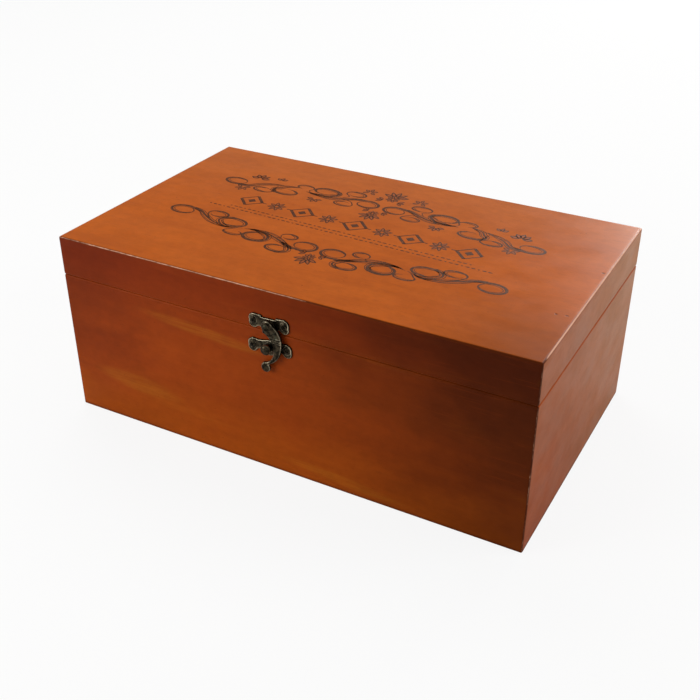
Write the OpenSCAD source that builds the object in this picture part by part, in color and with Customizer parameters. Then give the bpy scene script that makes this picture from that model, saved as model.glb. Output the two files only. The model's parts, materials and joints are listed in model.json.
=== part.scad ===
// Hinged wooden box for two bottles, closed by a swinging hook latch.
// The origin is at the middle of the underside. X runs along the front,
// Y runs from the front to the back, Z runs up, and all sizes are in mm.

/* [Box] */
// Length of the box along its front
box_l = 355; // [320:5:400]
// Depth of the box from front to back
box_w = 210; // [160:5:260]
// Height of the box with its lid closed
box_h = 140; // [130:2:180]
// Height of the lid, from the seam to the top
lid_h = 29.2; // [28:0.2:36]
// Height of the open seam between base and lid
seam_gap = 0.4; // [0.3:0.1:0.6]
// Thickness of the eight wall boards
wall_t = 8; // [7.5:0.5:10]
// Thickness of the top panel
top_t = 6; // [4:0.5:7]
// Thickness of the bottom panel
bottom_t = 5; // [4:0.5:8]

/* [Soft edges] */
// Radius sanded on the four upright corners
corner_r = 1.2; // [0.4:0.1:2]
// Radius along the four edges of the top
top_r = 1.4; // [0.4:0.1:2.4]
// Radius along the four edges of the underside
foot_r = 1; // [0.4:0.1:2]
// Radius along both sides of the seam
seam_r = 0.7; // [0.3:0.1:1.2]

/* [Brads] */
// Diameter of a brad
brad_d = 1.2; // [0.8:0.1:1.6]
// Length of a brad
brad_len = 22; // [16:1:26]
// Depth of the filler over the head of a brad
brad_cover = 0.3; // [0.2:0.1:0.6]
// Height of the lower brads in the corners of the base
brad_low_z = 15; // [12:1:20]
// Height of the upper brads in the corners of the base
brad_high_z = 68.5; // [50:0.5:80]

/* [Hinges] */
// Distance of each hinge from the middle of the box
hinge_x = 115; // [60:5:125]
// Length of a hinge along its barrel
hinge_l = 30; // [28:1:40]
// Height of one leaf, from the pin to its far edge
leaf_h = 15; // [13:0.5:17]
// Thickness of a leaf
leaf_t = 1; // [0.8:0.1:1.1]
// Diameter of the hinge pin
hinge_pin_d = 2.4; // [2:0.1:2.6]
// Radial play of the lid's knuckles on the pin
hinge_play = 0.05; // [0.03:0.01:0.09]
// Distance of the two screws of a leaf from its middle
leaf_screw_x = 9.5; // [8:0.5:11]
// Distance of the screws of a leaf from the pin
leaf_screw_drop = 9; // [8:0.5:10]

/* [Latch] */
// Place of the latch along the front, from the middle of the box
latch_x = -4; // [-60:1:60]
// Height of the hook's pivot above the seam
pivot_rise = 5.2; // [5.2:0.1:6.2]
// Drop from the hook's pivot to the catch post
post_drop = 15.8; // [15.5:0.1:16.1]
// Thickness of the two latch plates
plate_t = 1.2; // [1:0.1:1.3]
// Distance of the screws from the middle of the upper plate
upper_screw_x = 11.7; // [11:0.1:12.5]
// Distance of the screws from the middle of the lower plate
lower_screw_x = 13.2; // [12.5:0.1:14]
// Degrees that the upper plate's right end is turned up
upper_tilt = 1.2; // [0:0.2:3]
// Degrees that the lower plate's right end is turned up
lower_tilt = 3; // [0:0.2:4]
// Thickness of the hook
hook_t = 1.8; // [1.4:0.1:2]
// Gap between the hook and the boss that it turns on
hook_gap = 0.15; // [0.1:0.05:0.3]
// Diameter of the rivet that the hook turns on
rivet_d = 2.6; // [2.2:0.1:3]
// Radial play of the hook on its rivet
rivet_play = 0.06; // [0.03:0.01:0.09]
// Radius of the waist of the catch post
post_waist_r = 2.9; // [2.4:0.1:3]
// Radius of the head of the catch post
post_head_r = 3.6; // [3.3:0.1:4]

/* [Screws] */
// Diameter of the head of a screw
screw_head_d = 4.6; // [4:0.1:5]
// Diameter of the shank of a screw
screw_d = 2.2; // [1.8:0.1:2.6]
// Length of a screw under its head
screw_len = 7; // [5:0.5:7.5]
// Height of the crown of a screw head above its plate
screw_crown = 0.5; // [0.2:0.1:0.6]

/* [Hidden] */

// Colours of the stained wood, the worn bronze and the steel
stain_dark = "#8a3a12";
stain_top = "#b5622b";
bronze = "#4b4436";
bronze_worn = "#6a5f4a";
steel = "#8c8a84";

// Places of the seam and of the boards that meet it
lid_z = box_h - lid_h;
base_h = lid_z - seam_gap;
seam_z = lid_z - seam_gap / 2;
rail_top_z = box_h - top_t;

// How far a cutting shape runs past the face that it cuts
over = 1;

// Sides of the turned parts, of the brads and of the soft corners of the castings
turned_fn = 48;
brad_fn = 24;
cast_fn = 28;

// Rows of brads: along the corners, and up through the bottom panel
base_brad_rows = [brad_low_z, brad_high_z];
lid_brad_rise = 12;
lid_brad_rows = [lid_z + lid_brad_rise];
bottom_brad_end = 16;
bottom_brad_reach = box_l / 2 - brad_len - bottom_brad_end;
bottom_brad_x = [-1, -1 / 3, 1 / 3, 1] * bottom_brad_reach;
bottom_brad_y = [-box_w / 6, box_w / 6];

// Hinge barrel: five knuckles, clear of the wood behind it
knuckles = 5;
knuckle_l = hinge_l / knuckles;
knuckle_gap = 0.15;
roll_slack = 0.05;
barrel_r = hinge_pin_d / 2 + leaf_t + roll_slack;
barrel_clear = 0.25;
pin_out = barrel_r + barrel_clear;
pin_proud = 0.4;
pin_chamfer = 0.3;
leaf_corner_r = 2;
leaf_root_r = 0.3;

// Heights of the latch, and how its layers stack up from the wood
pivot_z = seam_z + pivot_rise;
post_z = pivot_z - post_drop;
boss_top = plate_t + 1.2;
hook_lo = boss_top + hook_gap;
hook_hi = hook_lo + hook_t;
bevel_t = 0.4;
bevel_in = 0.35;
cast_round = 0.8;
screw_seat_play = 0.03;
screw_cone_h = leaf_t - 0.1;
screw_point_h = 2;

// Upper plate, from the pivot: ears, bar, lobe and the dip in its top edge
upper_screw_z = 1.6;
upper_ear_z = [-0.6, 2.6];
upper_bar_z = [-2.4, 6.2];
upper_lobe_r = 4.8;
upper_dip_x = 5.4;
upper_dip_z = 4.9;
upper_fill = 1.2;

// Lower plate, from the post: ears, bar, lobe and the notches beside its middle
lower_screw_z = -0.4;
lower_ear_z = [-2.5, 0.2];
lower_bar_z = [-3.2, 3.8];
lower_lobe_z = -1.2;
lower_lobe_r = 5.6;
lower_notch_c = [8.2, 6.9];
lower_notch_r = 3.2;
lower_fill = 2;
ear_r = 3.5;

// Catch post: the boss under it, its foot, its waist and its thick domed head
post_boss_r = 3.6;
post_foot_z = plate_t + 0.5;
post_flare = 0.3;
post_head_z = hook_hi + 0.3;
post_rim_z = hook_hi + 1.9;
post_dome = 1.9;

// Rivet: its head sits over the raised collar of the hook
collar_r = 3.3;
collar_h = 0.45;
rivet_head_r = 2.4;
rivet_head_z = hook_hi + collar_h + hook_gap;
rivet_dome = 1.1;

// Hook, from the pivot: its circles are given as X, Z and radius
hook_eye_r = 4.4;
hook_out = [[-3.9, -10.4, 14.8], [-5.2, -13.6, 15.4]];
hook_in = [[-5.6, -17.6, 10], [-6.5, -15, 10.6]];
hook_rest = [[5.2, -post_drop, 2]];
hook_tip = [[-2, -30.8, 3.5]];
hook_left = -3.4;
hook_reach = 40;
hook_fn = 72;
hook_fill = 1.4;
hook_tip_dome_r = 2.6;
hook_tip_dome = 1.5;
hook_rib_z = [-6.9, -8.5, -10.1];
hook_rib_w = 0.8;
hook_rib_h = 0.3;
hook_rib_in = 0.6;

// Points along an arc about c from angle a0 to a1
function arc(c, r, a0, a1, n = 5) =
    [for (i = [0:n]) let (a = a0 + (a1 - a0) * i / n) c + r * [cos(a), sin(a)]];

// Points of a dome of radius r and height h, from its rim at z to its top
function dome(r, h, z) = [for (a = [0:15:90]) [r * cos(a), z + h * sin(a)]];

// A rectangle whose lower and upper corners have their own radii
function soft_rect(x0, x1, y0, y1, r_lo, r_hi) = concat(
    arc([x1 - r_lo, y0 + r_lo], r_lo, -90, 0),
    arc([x1 - r_hi, y1 - r_hi], r_hi, 0, 90),
    arc([x0 + r_hi, y1 - r_hi], r_hi, 90, 180),
    arc([x0 + r_lo, y0 + r_lo], r_lo, 180, 270));

// The outside of the base or of the lid, with every arris sanded round
module soft_block(z0, z1, r_lo, r_hi) {
    intersection() {
        translate([0, 0, z0 - over])
            linear_extrude(z1 - z0 + 2 * over)
                polygon(soft_rect(-box_l / 2, box_l / 2, -box_w / 2, box_w / 2, corner_r, corner_r));
        rotate([90, 0, 0])
            linear_extrude(box_w + 2 * over, center = true)
                polygon(soft_rect(-box_l / 2, box_l / 2, z0, z1, r_lo, r_hi));
        rotate([90, 0, 90])
            linear_extrude(box_l + 2 * over, center = true)
                polygon(soft_rect(-box_w / 2, box_w / 2, z0, z1, r_lo, r_hi));
    }
}

module base_block() {
    soft_block(0, base_h, foot_r, seam_r);
}

module lid_block() {
    soft_block(lid_z, box_h, seam_r, top_r);
}

// The slab of a block between two heights
module between(z0, z1) {
    translate([-box_l, -box_w, z0]) cube([2 * box_l, 2 * box_w, z1 - z0]);
}

// Room of a board that lies along X, with a mitre at each end; side is -1 in front
module along_x(side, z0, z1) {
    x = box_l / 2;
    y = box_w / 2;
    translate([0, 0, z0])
        linear_extrude(z1 - z0)
            polygon([
                [-x - over, side * (y + over)],
                [x + over, side * (y + over)],
                [x - wall_t, side * (y - wall_t)],
                [-x + wall_t, side * (y - wall_t)]]);
}

// Room of a board that lies along Y, with a mitre at each end; side is -1 at the left
module along_y(side, z0, z1) {
    x = box_l / 2;
    y = box_w / 2;
    translate([0, 0, z0])
        linear_extrude(z1 - z0)
            polygon([
                [side * (x + over), -y - over],
                [side * (x + over), y + over],
                [side * (x - wall_t), y - wall_t],
                [side * (x - wall_t), -y + wall_t]]);
}

// Brads driven through both end boards into the ends of the front and back boards
module corner_brads(rows) {
    for (side = [-1, 1], end = [-1, 1], z = rows)
        translate([end * (box_l / 2 - brad_cover), side * (box_w / 2 - wall_t / 2), z])
            rotate([0, -end * 90, 0])
                cylinder(d = brad_d, h = brad_len, $fn = brad_fn);
}

// Brads driven up through the bottom panel into the edges of the four boards
module bottom_brad_set() {
    for (side = [-1, 1], x = bottom_brad_x)
        translate([x, side * (box_w / 2 - wall_t / 2), brad_cover])
            cylinder(d = brad_d, h = brad_len, $fn = brad_fn);
    for (end = [-1, 1], y = bottom_brad_y)
        translate([end * (box_l / 2 - wall_t / 2), y, brad_cover])
            cylinder(d = brad_d, h = brad_len, $fn = brad_fn);
}

// Puts a drawing on the front face: its Y becomes up and its Z points outwards
module on_front(x, z) {
    translate([x, -box_w / 2, z]) rotate([90, 0, 0]) children();
}

// Puts a drawing on the back face: its Y becomes down and its Z points outwards
module on_back(x, z) {
    translate([x, box_w / 2, z]) rotate([-90, 0, 0]) children();
}

// A countersunk screw whose head seats at z = 0 and points to +Z
module screw() {
    head_r = screw_head_d / 2;
    shank_r = screw_d / 2;
    crown_c = (head_r * head_r - screw_crown * screw_crown) / (2 * screw_crown);
    crown_a = atan2(crown_c, head_r);
    rotate_extrude($fn = turned_fn)
        polygon(concat(
            [[0, -screw_len], [shank_r, screw_point_h - screw_len], [shank_r, -screw_cone_h]],
            arc([0, -crown_c], crown_c + screw_crown, crown_a, 90, 4)));
}

// The seat of a screw head in a plate
module screw_seat() {
    hole_d = screw_d + 2 * screw_seat_play;
    rim_d = screw_head_d + 2 * screw_seat_play;
    translate([0, 0, -screw_cone_h])
        cylinder(h = screw_cone_h, d1 = hole_d, d2 = rim_d, $fn = turned_fn);
    translate([0, 0, -2 * plate_t])
        cylinder(h = 2 * plate_t, d = hole_d, $fn = turned_fn);
}

// The pilot hole of a screw in the wood
module screw_pilot() {
    translate([0, 0, -screw_len]) cylinder(h = screw_len, d = screw_d, $fn = turned_fn);
}

// Places of the two screws of one hinge leaf; side is 1 on the base and -1 on the lid
module leaf_screw_places(x, side, out) {
    for (end = [-1, 1])
        on_back(x + end * leaf_screw_x, seam_z - side * leaf_screw_drop)
            translate([0, 0, out])
                children();
}

// Places of the two screws of a latch plate, on a plate turned by tilt about x = 0
module screw_pair(x, z, tilt) {
    rotate(tilt)
        for (end = [-1, 1])
            translate([end * x, z, plate_t])
                children();
}

module upper_screw_places() {
    on_front(latch_x, pivot_z) screw_pair(upper_screw_x, upper_screw_z, upper_tilt) children();
}

module lower_screw_places() {
    on_front(latch_x, post_z) screw_pair(lower_screw_x, lower_screw_z, lower_tilt) children();
}

module bottom_panel() {
    color(stain_dark)
        difference() {
            intersection() {
                base_block();
                between(-over, bottom_t);
            }
            bottom_brad_set();
        }
}

module front_board() {
    color(stain_dark)
        difference() {
            intersection() {
                base_block();
                along_x(-1, bottom_t, box_h);
            }
            corner_brads(base_brad_rows);
            bottom_brad_set();
            lower_screw_places() screw_pilot();
        }
}

module back_board() {
    color(stain_dark)
        difference() {
            intersection() {
                base_block();
                along_x(1, bottom_t, box_h);
            }
            corner_brads(base_brad_rows);
            bottom_brad_set();
            for (x = [-hinge_x, hinge_x])
                leaf_screw_places(x, 1, leaf_t) screw_pilot();
        }
}

module end_board(end) {
    color(stain_dark)
        difference() {
            intersection() {
                base_block();
                along_y(end, bottom_t, box_h);
            }
            corner_brads(base_brad_rows);
            bottom_brad_set();
        }
}

module left_board() {
    end_board(-1);
}

module right_board() {
    end_board(1);
}

module base_corner_brads() {
    color(steel) corner_brads(base_brad_rows);
}

module bottom_brads() {
    color(steel) bottom_brad_set();
}

module lid_top_panel() {
    color(stain_top)
        intersection() {
            lid_block();
            between(rail_top_z, box_h + over);
        }
}

module lid_front_rail() {
    color(stain_dark)
        difference() {
            intersection() {
                lid_block();
                along_x(-1, lid_z - over, rail_top_z);
            }
            corner_brads(lid_brad_rows);
            upper_screw_places() screw_pilot();
        }
}

module lid_back_rail() {
    color(stain_dark)
        difference() {
            intersection() {
                lid_block();
                along_x(1, lid_z - over, rail_top_z);
            }
            corner_brads(lid_brad_rows);
            for (x = [-hinge_x, hinge_x])
                leaf_screw_places(x, -1, leaf_t) screw_pilot();
        }
}

module lid_end_rail(end) {
    color(stain_dark)
        difference() {
            intersection() {
                lid_block();
                along_y(end, lid_z - over, rail_top_z);
            }
            corner_brads(lid_brad_rows);
        }
}

module lid_left_rail() {
    lid_end_rail(-1);
}

module lid_right_rail() {
    lid_end_rail(1);
}

module lid_corner_brads() {
    color(steel) corner_brads(lid_brad_rows);
}

// One leaf, its knuckles rolled up from the sheet; first is 0 for knuckles
// 1, 3 and 5, and 1 for knuckles 2 and 4. Its Y runs away from the pin.
module hinge_leaf(first, play) {
    clear = barrel_r + barrel_clear;
    starts = [for (i = [first:2:knuckles - 1]) i * knuckle_l - hinge_l / 2 + knuckle_gap / 2];
    width = knuckle_l - knuckle_gap;
    difference() {
        union() {
            linear_extrude(leaf_t) {
                polygon(soft_rect(-hinge_l / 2, hinge_l / 2, clear, leaf_h, leaf_root_r, leaf_corner_r));
                for (x = starts)
                    translate([x, 0]) square([width, clear + over]);
            }
            for (x = starts)
                translate([x, 0, pin_out])
                    rotate([0, 90, 0])
                        cylinder(r = barrel_r, h = width, $fn = turned_fn);
        }
        translate([-hinge_l, 0, pin_out])
            rotate([0, 90, 0])
                cylinder(d = hinge_pin_d + 2 * play, h = 2 * hinge_l, $fn = turned_fn);
        for (end = [-1, 1])
            translate([end * leaf_screw_x, leaf_screw_drop, leaf_t])
                screw_seat();
    }
}

module base_leaf(x) {
    color(bronze) on_back(x, seam_z) hinge_leaf(0, 0);
}

module lid_leaf(x) {
    color(bronze) on_back(x, seam_z) rotate([0, 0, 180]) hinge_leaf(1, hinge_play);
}

module left_hinge_base_leaf() {
    base_leaf(-hinge_x);
}

module right_hinge_base_leaf() {
    base_leaf(hinge_x);
}

module left_hinge_lid_leaf() {
    lid_leaf(-hinge_x);
}

module right_hinge_lid_leaf() {
    lid_leaf(hinge_x);
}

// The pin fills the base leaf's knuckles and ends in a small chamfer
module hinge_pin(x) {
    r = hinge_pin_d / 2;
    half = hinge_l / 2 + pin_proud;
    color(bronze_worn)
        on_back(x, seam_z)
            translate([0, 0, pin_out])
                rotate([0, 90, 0])
                    rotate_extrude($fn = turned_fn)
                        polygon([
                            [0, -half], [r - pin_chamfer, -half], [r, pin_chamfer - half],
                            [r, half - pin_chamfer], [r - pin_chamfer, half], [0, half]]);
}

module left_hinge_pin() {
    hinge_pin(-hinge_x);
}

module right_hinge_pin() {
    hinge_pin(hinge_x);
}

module base_hinge_screws() {
    color(bronze_worn)
        for (x = [-hinge_x, hinge_x])
            leaf_screw_places(x, 1, leaf_t) screw();
}

module lid_hinge_screws() {
    color(bronze_worn)
        for (x = [-hinge_x, hinge_x])
            leaf_screw_places(x, -1, leaf_t) screw();
}

// Rounds the outward corners of a flat casting, and its inward ones by fill
module softened(fill) {
    offset(r = cast_round, $fn = cast_fn)
        offset(r = -cast_round - fill, $fn = cast_fn)
            offset(delta = fill)
                children();
}

// A cast plate of a given outline, with a bevel round its upper edge
module bevelled(t) {
    linear_extrude(t - bevel_t) children();
    translate([0, 0, t - bevel_t])
        linear_extrude(bevel_t) offset(delta = -bevel_in) children();
}

// The two ears of a plate, each made of two circles that lie one over the other
module ears(x, z) {
    for (end = [-1, 1], ear_z = z)
        translate([end * x, ear_z]) circle(r = ear_r, $fn = cast_fn);
}

// The bar that joins the two ears of a plate
module bar(x, z) {
    translate([-x, z[0]]) square([2 * x, z[1] - z[0]]);
}

// Upper plate: two ears, a dipped top edge and a round lobe under the pivot
module upper_outline() {
    softened(upper_fill)
        difference() {
            union() {
                ears(upper_screw_x, upper_ear_z);
                bar(upper_screw_x, upper_bar_z);
                circle(r = upper_lobe_r, $fn = cast_fn);
            }
            translate([-upper_dip_x, upper_dip_z])
                square([2 * upper_dip_x, upper_bar_z[1]]);
        }
}

// Lower plate: two ears on a waisted bar, with a lobe under the post
module lower_outline() {
    softened(lower_fill)
        difference() {
            union() {
                ears(lower_screw_x, lower_ear_z);
                bar(lower_screw_x, lower_bar_z);
                translate([0, lower_lobe_z]) circle(r = lower_lobe_r, $fn = cast_fn);
            }
            for (end = [-1, 1])
                translate([end * lower_notch_c.x, lower_notch_c.y])
                    circle(r = lower_notch_r, $fn = cast_fn);
        }
}

module latch_plate() {
    color(bronze)
        on_front(latch_x, pivot_z)
            difference() {
                union() {
                    rotate(upper_tilt) bevelled(plate_t) upper_outline();
                    cylinder(r = hook_eye_r, h = boss_top, $fn = turned_fn);
                }
                translate([0, 0, -over])
                    cylinder(d = rivet_d, h = boss_top + 2 * over, $fn = turned_fn);
                screw_pair(upper_screw_x, upper_screw_z, upper_tilt) screw_seat();
            }
}

module catch_plate() {
    color(bronze)
        on_front(latch_x, post_z)
            difference() {
                union() {
                    rotate(lower_tilt) bevelled(plate_t) lower_outline();
                    cylinder(r = post_boss_r, h = post_foot_z, $fn = turned_fn);
                }
                translate([0, 0, -over])
                    cylinder(d = rivet_d, h = post_foot_z + 2 * over, $fn = turned_fn);
                screw_pair(lower_screw_x, lower_screw_z, lower_tilt) screw_seat();
            }
}

// The post: a spigot in the plate, a foot, a waist for the hook and a domed head
module catch_post() {
    spigot_r = rivet_d / 2;
    color(bronze_worn)
        on_front(latch_x, post_z)
            rotate_extrude($fn = turned_fn)
                polygon(concat(
                    [[0, 0], [spigot_r, 0], [spigot_r, post_foot_z]],
                    [[post_waist_r + post_flare, post_foot_z]],
                    [[post_waist_r, post_foot_z + post_flare], [post_waist_r, post_head_z]],
                    [[post_head_r - post_flare, post_head_z]],
                    [[post_head_r, post_head_z + post_flare]],
                    dome(post_head_r, post_dome, post_rim_z)));
}

module latch_rivet() {
    rivet_r = rivet_d / 2;
    color(bronze_worn)
        on_front(latch_x, pivot_z)
            rotate_extrude($fn = turned_fn)
                polygon(concat(
                    [[0, 0], [rivet_r, 0], [rivet_r, rivet_head_z]],
                    dome(rivet_head_r, rivet_dome, rivet_head_z)));
}

module catch_screws() {
    color(bronze_worn) lower_screw_places() screw();
}

module latch_screws() {
    color(bronze_worn) upper_screw_places() screw();
}

module hook_circles(list) {
    for (c = list)
        translate([c.x, c.y]) circle(r = c.z, $fn = hook_fn);
}

// Crescent of the hook: wide circles less the smaller ones at their lower left,
// kept to the right of the eye, so that only the eye's own circle shows above it
module crescent() {
    intersection() {
        difference() {
            hook_circles(hook_out);
            hook_circles(hook_in);
        }
        polygon([
            [hook_left, 0], [hook_left, -hook_reach], [hook_reach, -hook_reach],
            [hook_reach, hook_reach], [0, hook_reach], [0, hook_eye_r]]);
    }
}

// Hook: its eye, a broad crescent with a heel that rests on the post, and a finger tip
module hook_outline() {
    softened(hook_fill)
        union() {
            circle(r = hook_eye_r, $fn = hook_fn);
            crescent();
            hook_circles(hook_rest);
            hook_circles(hook_tip);
        }
}

// Three raised ribs across the neck of the hook
module hook_ribs() {
    intersection() {
        translate([0, 0, hook_lo])
            linear_extrude(hook_t + hook_rib_h)
                offset(delta = -hook_rib_in) hook_outline();
        for (z = hook_rib_z)
            translate([0, z - hook_rib_w / 2, hook_lo])
                cube([hook_reach, hook_rib_w, 2 * hook_t]);
    }
}

module latch_hook() {
    color(bronze_worn)
        on_front(latch_x, pivot_z)
            difference() {
                union() {
                    translate([0, 0, hook_lo]) bevelled(hook_t) hook_outline();
                    translate([0, 0, hook_lo])
                        cylinder(r = collar_r, h = hook_t + collar_h, $fn = turned_fn);
                    translate([hook_tip[0].x, hook_tip[0].y, hook_hi - bevel_t])
                        rotate_extrude($fn = turned_fn)
                            polygon(concat([[0, 0]], dome(hook_tip_dome_r, hook_tip_dome, 0)));
                    hook_ribs();
                }
                translate([0, 0, hook_lo - over])
                    cylinder(d = rivet_d + 2 * rivet_play, h = 2 * hook_t + 2 * over, $fn = turned_fn);
            }
}

bottom_panel();
front_board();
back_board();
left_board();
right_board();
base_corner_brads();
bottom_brads();
catch_plate();
catch_post();
catch_screws();
left_hinge_base_leaf();
right_hinge_base_leaf();
left_hinge_pin();
right_hinge_pin();
base_hinge_screws();
lid_top_panel();
lid_front_rail();
lid_back_rail();
lid_left_rail();
lid_right_rail();
lid_corner_brads();
latch_plate();
latch_rivet();
latch_screws();
left_hinge_lid_leaf();
right_hinge_lid_leaf();
lid_hinge_screws();
latch_hook();
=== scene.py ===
"""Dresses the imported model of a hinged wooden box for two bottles.

The boards are rebuilt with sanded, slightly worn arrises in a stained and lacquered wood, the lid
carries a printed scrollwork ornament, and the hook latch, hinges and screws are antique bronze.
Sizes are in millimetres until a mesh is made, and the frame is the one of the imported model.
"""

import json
import logging
import math
from collections.abc import Callable
from dataclasses import dataclass
from enum import Enum

import bmesh
import bpy
import numpy as np
from mathutils import Matrix, Vector


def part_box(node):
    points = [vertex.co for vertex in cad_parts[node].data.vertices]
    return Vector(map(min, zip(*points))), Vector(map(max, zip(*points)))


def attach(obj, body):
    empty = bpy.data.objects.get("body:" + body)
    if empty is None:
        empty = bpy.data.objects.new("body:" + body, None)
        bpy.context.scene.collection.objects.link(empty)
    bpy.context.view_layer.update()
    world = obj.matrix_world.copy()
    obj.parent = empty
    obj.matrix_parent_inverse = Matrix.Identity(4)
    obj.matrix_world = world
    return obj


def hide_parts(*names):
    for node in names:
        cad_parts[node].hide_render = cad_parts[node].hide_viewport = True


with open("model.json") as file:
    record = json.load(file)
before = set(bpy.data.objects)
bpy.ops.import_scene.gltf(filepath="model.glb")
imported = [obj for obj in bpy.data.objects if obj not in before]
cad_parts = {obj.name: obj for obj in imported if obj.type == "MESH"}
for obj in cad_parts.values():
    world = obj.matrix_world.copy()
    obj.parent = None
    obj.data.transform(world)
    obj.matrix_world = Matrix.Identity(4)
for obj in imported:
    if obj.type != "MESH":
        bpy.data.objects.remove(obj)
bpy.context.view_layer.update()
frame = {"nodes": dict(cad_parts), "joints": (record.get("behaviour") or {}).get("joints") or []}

log = logging.getLogger("wooden_box")

MM = 0.001
MERGE_MM = 0.0005
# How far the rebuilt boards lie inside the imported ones.
HAIR_MM = 0.03

Vec2 = tuple[float, float]
Vec3 = tuple[float, float, float]
# Where a smooth change starts and ends, and the shares it has there: 0 and 1 if left out.
Fade = tuple[float, ...]
# Depth, height, rub, tone and bareness of a panel's outline.
Ring = tuple[float, float, float, float, float]
# Middle and half sizes of soft ellipsoids.
Spots = tuple[tuple[Vec3, Vec3], ...]
Socket = bpy.types.NodeSocket
Material = bpy.types.Material
Outline = Callable[[np.ndarray, np.ndarray], np.ndarray]
Relief = Callable[[np.ndarray, np.ndarray, np.ndarray], tuple[np.ndarray, np.ndarray]]
Move = Callable[[np.ndarray], np.ndarray]


class Body(Enum):
    """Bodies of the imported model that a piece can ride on."""

    BASE = "base"
    LID = "lid"
    HOOK = "hook"


class Slot(Enum):
    """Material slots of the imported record."""

    WOOD = "stained_wood"
    BRONZE = "antique_bronze"
    SCREWS = "antique_screws"


class Side(Enum):
    """Walls of the box; the value is the number of quarter turns from the front wall."""

    FRONT = 0
    RIGHT = 1
    BACK = 2
    LEFT = 3


class Facing(Enum):
    """Where the outside of a piece of hardware looks; the value is its sign along Y."""

    FRONT = -1
    BACK = 1


def node_box(node: str) -> np.ndarray:
    """Returns the lowest and the highest corner of a CAD node, in millimetres."""
    return np.array([tuple(corner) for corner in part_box(node)]) / MM


def pivot_of(name: str) -> np.ndarray:
    """Returns a point of a joint's axis, in millimetres."""
    return next(np.array(joint["pos_m"]) / MM for joint in frame["joints"] if joint["name"] == name)


# ---------------------------------------------------------------- colours and nodes


def linear(code: str) -> tuple[float, float, float, float]:
    """Turns an sRGB hex colour into linear light.

    Args:
        code: The colour as "#rrggbb".

    Returns:
        Red, green, blue and an alpha of 1.
    """
    c = np.array([int(code[i:i + 2], 16) for i in (1, 3, 5)]) / 255
    lin = np.where(c <= 0.04045, c / 12.92, ((c + 0.055) / 1.055) ** 2.4)
    return (*map(float, lin), 1.0)


class Graph:
    """A material or world under construction, with short calls for what the finishes repeat."""

    def __init__(self, owner: Material | bpy.types.World) -> None:
        """Empties the owner's node tree.

        Args:
            owner: The material or world whose nodes are made.
        """
        owner.use_nodes = True
        self.tree = owner.node_tree
        self.tree.nodes.clear()

    def add(self, kind: str, inputs: dict | None = None, **settings) -> bpy.types.Node:
        """Adds one shader node.

        Args:
            kind: The node's type after "ShaderNode", such as "Math".
            inputs: Socket name or number to a value, or to the output socket that feeds it.
            **settings: The node's own properties.

        Returns:
            The new node.
        """
        node = self.tree.nodes.new("ShaderNode" + kind)
        for key, value in settings.items():
            setattr(node, key, value)
        for key, value in (inputs or {}).items():
            socket = node.inputs[key]
            if isinstance(value, Socket):
                self.tree.links.new(value, socket)
            else:
                socket.default_value = value
        return node

    def math(self, operation: str, *values) -> Socket:
        """Returns the result of a Math node on up to three values."""
        return self.add("Math", dict(enumerate(values)), operation=operation).outputs[0]

    def times(self, first: Socket | float, *others: Socket | float) -> Socket:
        """Returns the product of two or more values."""
        for other in others:
            first = self.math("MULTIPLY", first, other)
        return first

    def rest(self, share: Socket) -> Socket:
        """Returns 1 less a share."""
        return self.math("SUBTRACT", 1.0, share)

    def ramp(self, value: Socket, low: float, high: float, start: float = 0.0,
             end: float = 1.0) -> Socket:
        """Maps a value smoothly from one range to another.

        Args:
            value: What is mapped.
            low: The value that gives start.
            high: The value that gives end.
            start: Result at and below low.
            end: Result at and above high.

        Returns:
            The mapped value.
        """
        node = self.add("MapRange", {0: value, 1: low, 2: high, 3: start, 4: end},
                        interpolation_type="SMOOTHSTEP")
        return node.outputs[0]

    def mix(self, amount: Socket | float, first: Socket | str, second: Socket | str,
            blend: str = "MIX") -> Socket:
        """Mixes two colours.

        Args:
            amount: Share of the second, as a number or socket.
            first: An sRGB hex colour or a socket.
            second: An sRGB hex colour or a socket.
            blend: The blend type.

        Returns:
            The mixed colour.
        """
        first, second = (linear(c) if isinstance(c, str) else c for c in (first, second))
        node = self.add("Mix", {0: amount, 6: first, 7: second}, data_type="RGBA",
                        blend_type=blend, clamp_factor=True)
        return node.outputs[2]

    def noise(self, place: Socket, cell_mm: Vec3,
              detail: float = 2.0, rough: float = 0.5, bend: float = 0.0) -> Socket:
        """Noise whose features have a given real size along three directions.

        Args:
            place: Coordinates in millimetres.
            cell_mm: Size of one feature along each coordinate.
            detail: Octaves of finer noise.
            rough: Share that each octave keeps.
            bend: How far the pattern is distorted.

        Returns:
            The noise value, about 0.5 on average.
        """
        scaled = self.add("Mapping", {0: place, 3: tuple(1 / c for c in cell_mm)})
        node = self.add("TexNoise", {0: scaled.outputs[0], "Scale": 1.0, "Detail": detail,
                                     "Roughness": rough, "Distortion": bend})
        return node.outputs[0]

    def object_mm(self) -> Socket:
        """Returns Object coordinates turned into millimetres."""
        coords = self.add("TexCoord")
        scaled = self.add("VectorMath", {0: coords.outputs["Object"], 3: 1 / MM}, operation="SCALE")
        return scaled.outputs[0]

    def axes(self, place: Socket) -> list[Socket]:
        """Returns the three parts of a vector."""
        return list(self.add("SeparateXYZ", {0: place}).outputs)

    def mark(self, name: str) -> Socket:
        """Returns the value of a piece's own attribute, 0 where it has none."""
        return self.add("Attribute", attribute_name=name).outputs["Fac"]

    def surface(self, shader: Socket) -> None:
        """Ends the tree in a material output."""
        self.add("OutputMaterial", {"Surface": shader})


def new_material(name: str) -> tuple[Material, Graph]:
    """Makes an empty material.

    Args:
        name: The name of the finish.

    Returns:
        The material and the graph of its nodes.
    """
    material = bpy.data.materials.new(name)
    return material, Graph(material)


# ---------------------------------------------------------------- finishes


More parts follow.
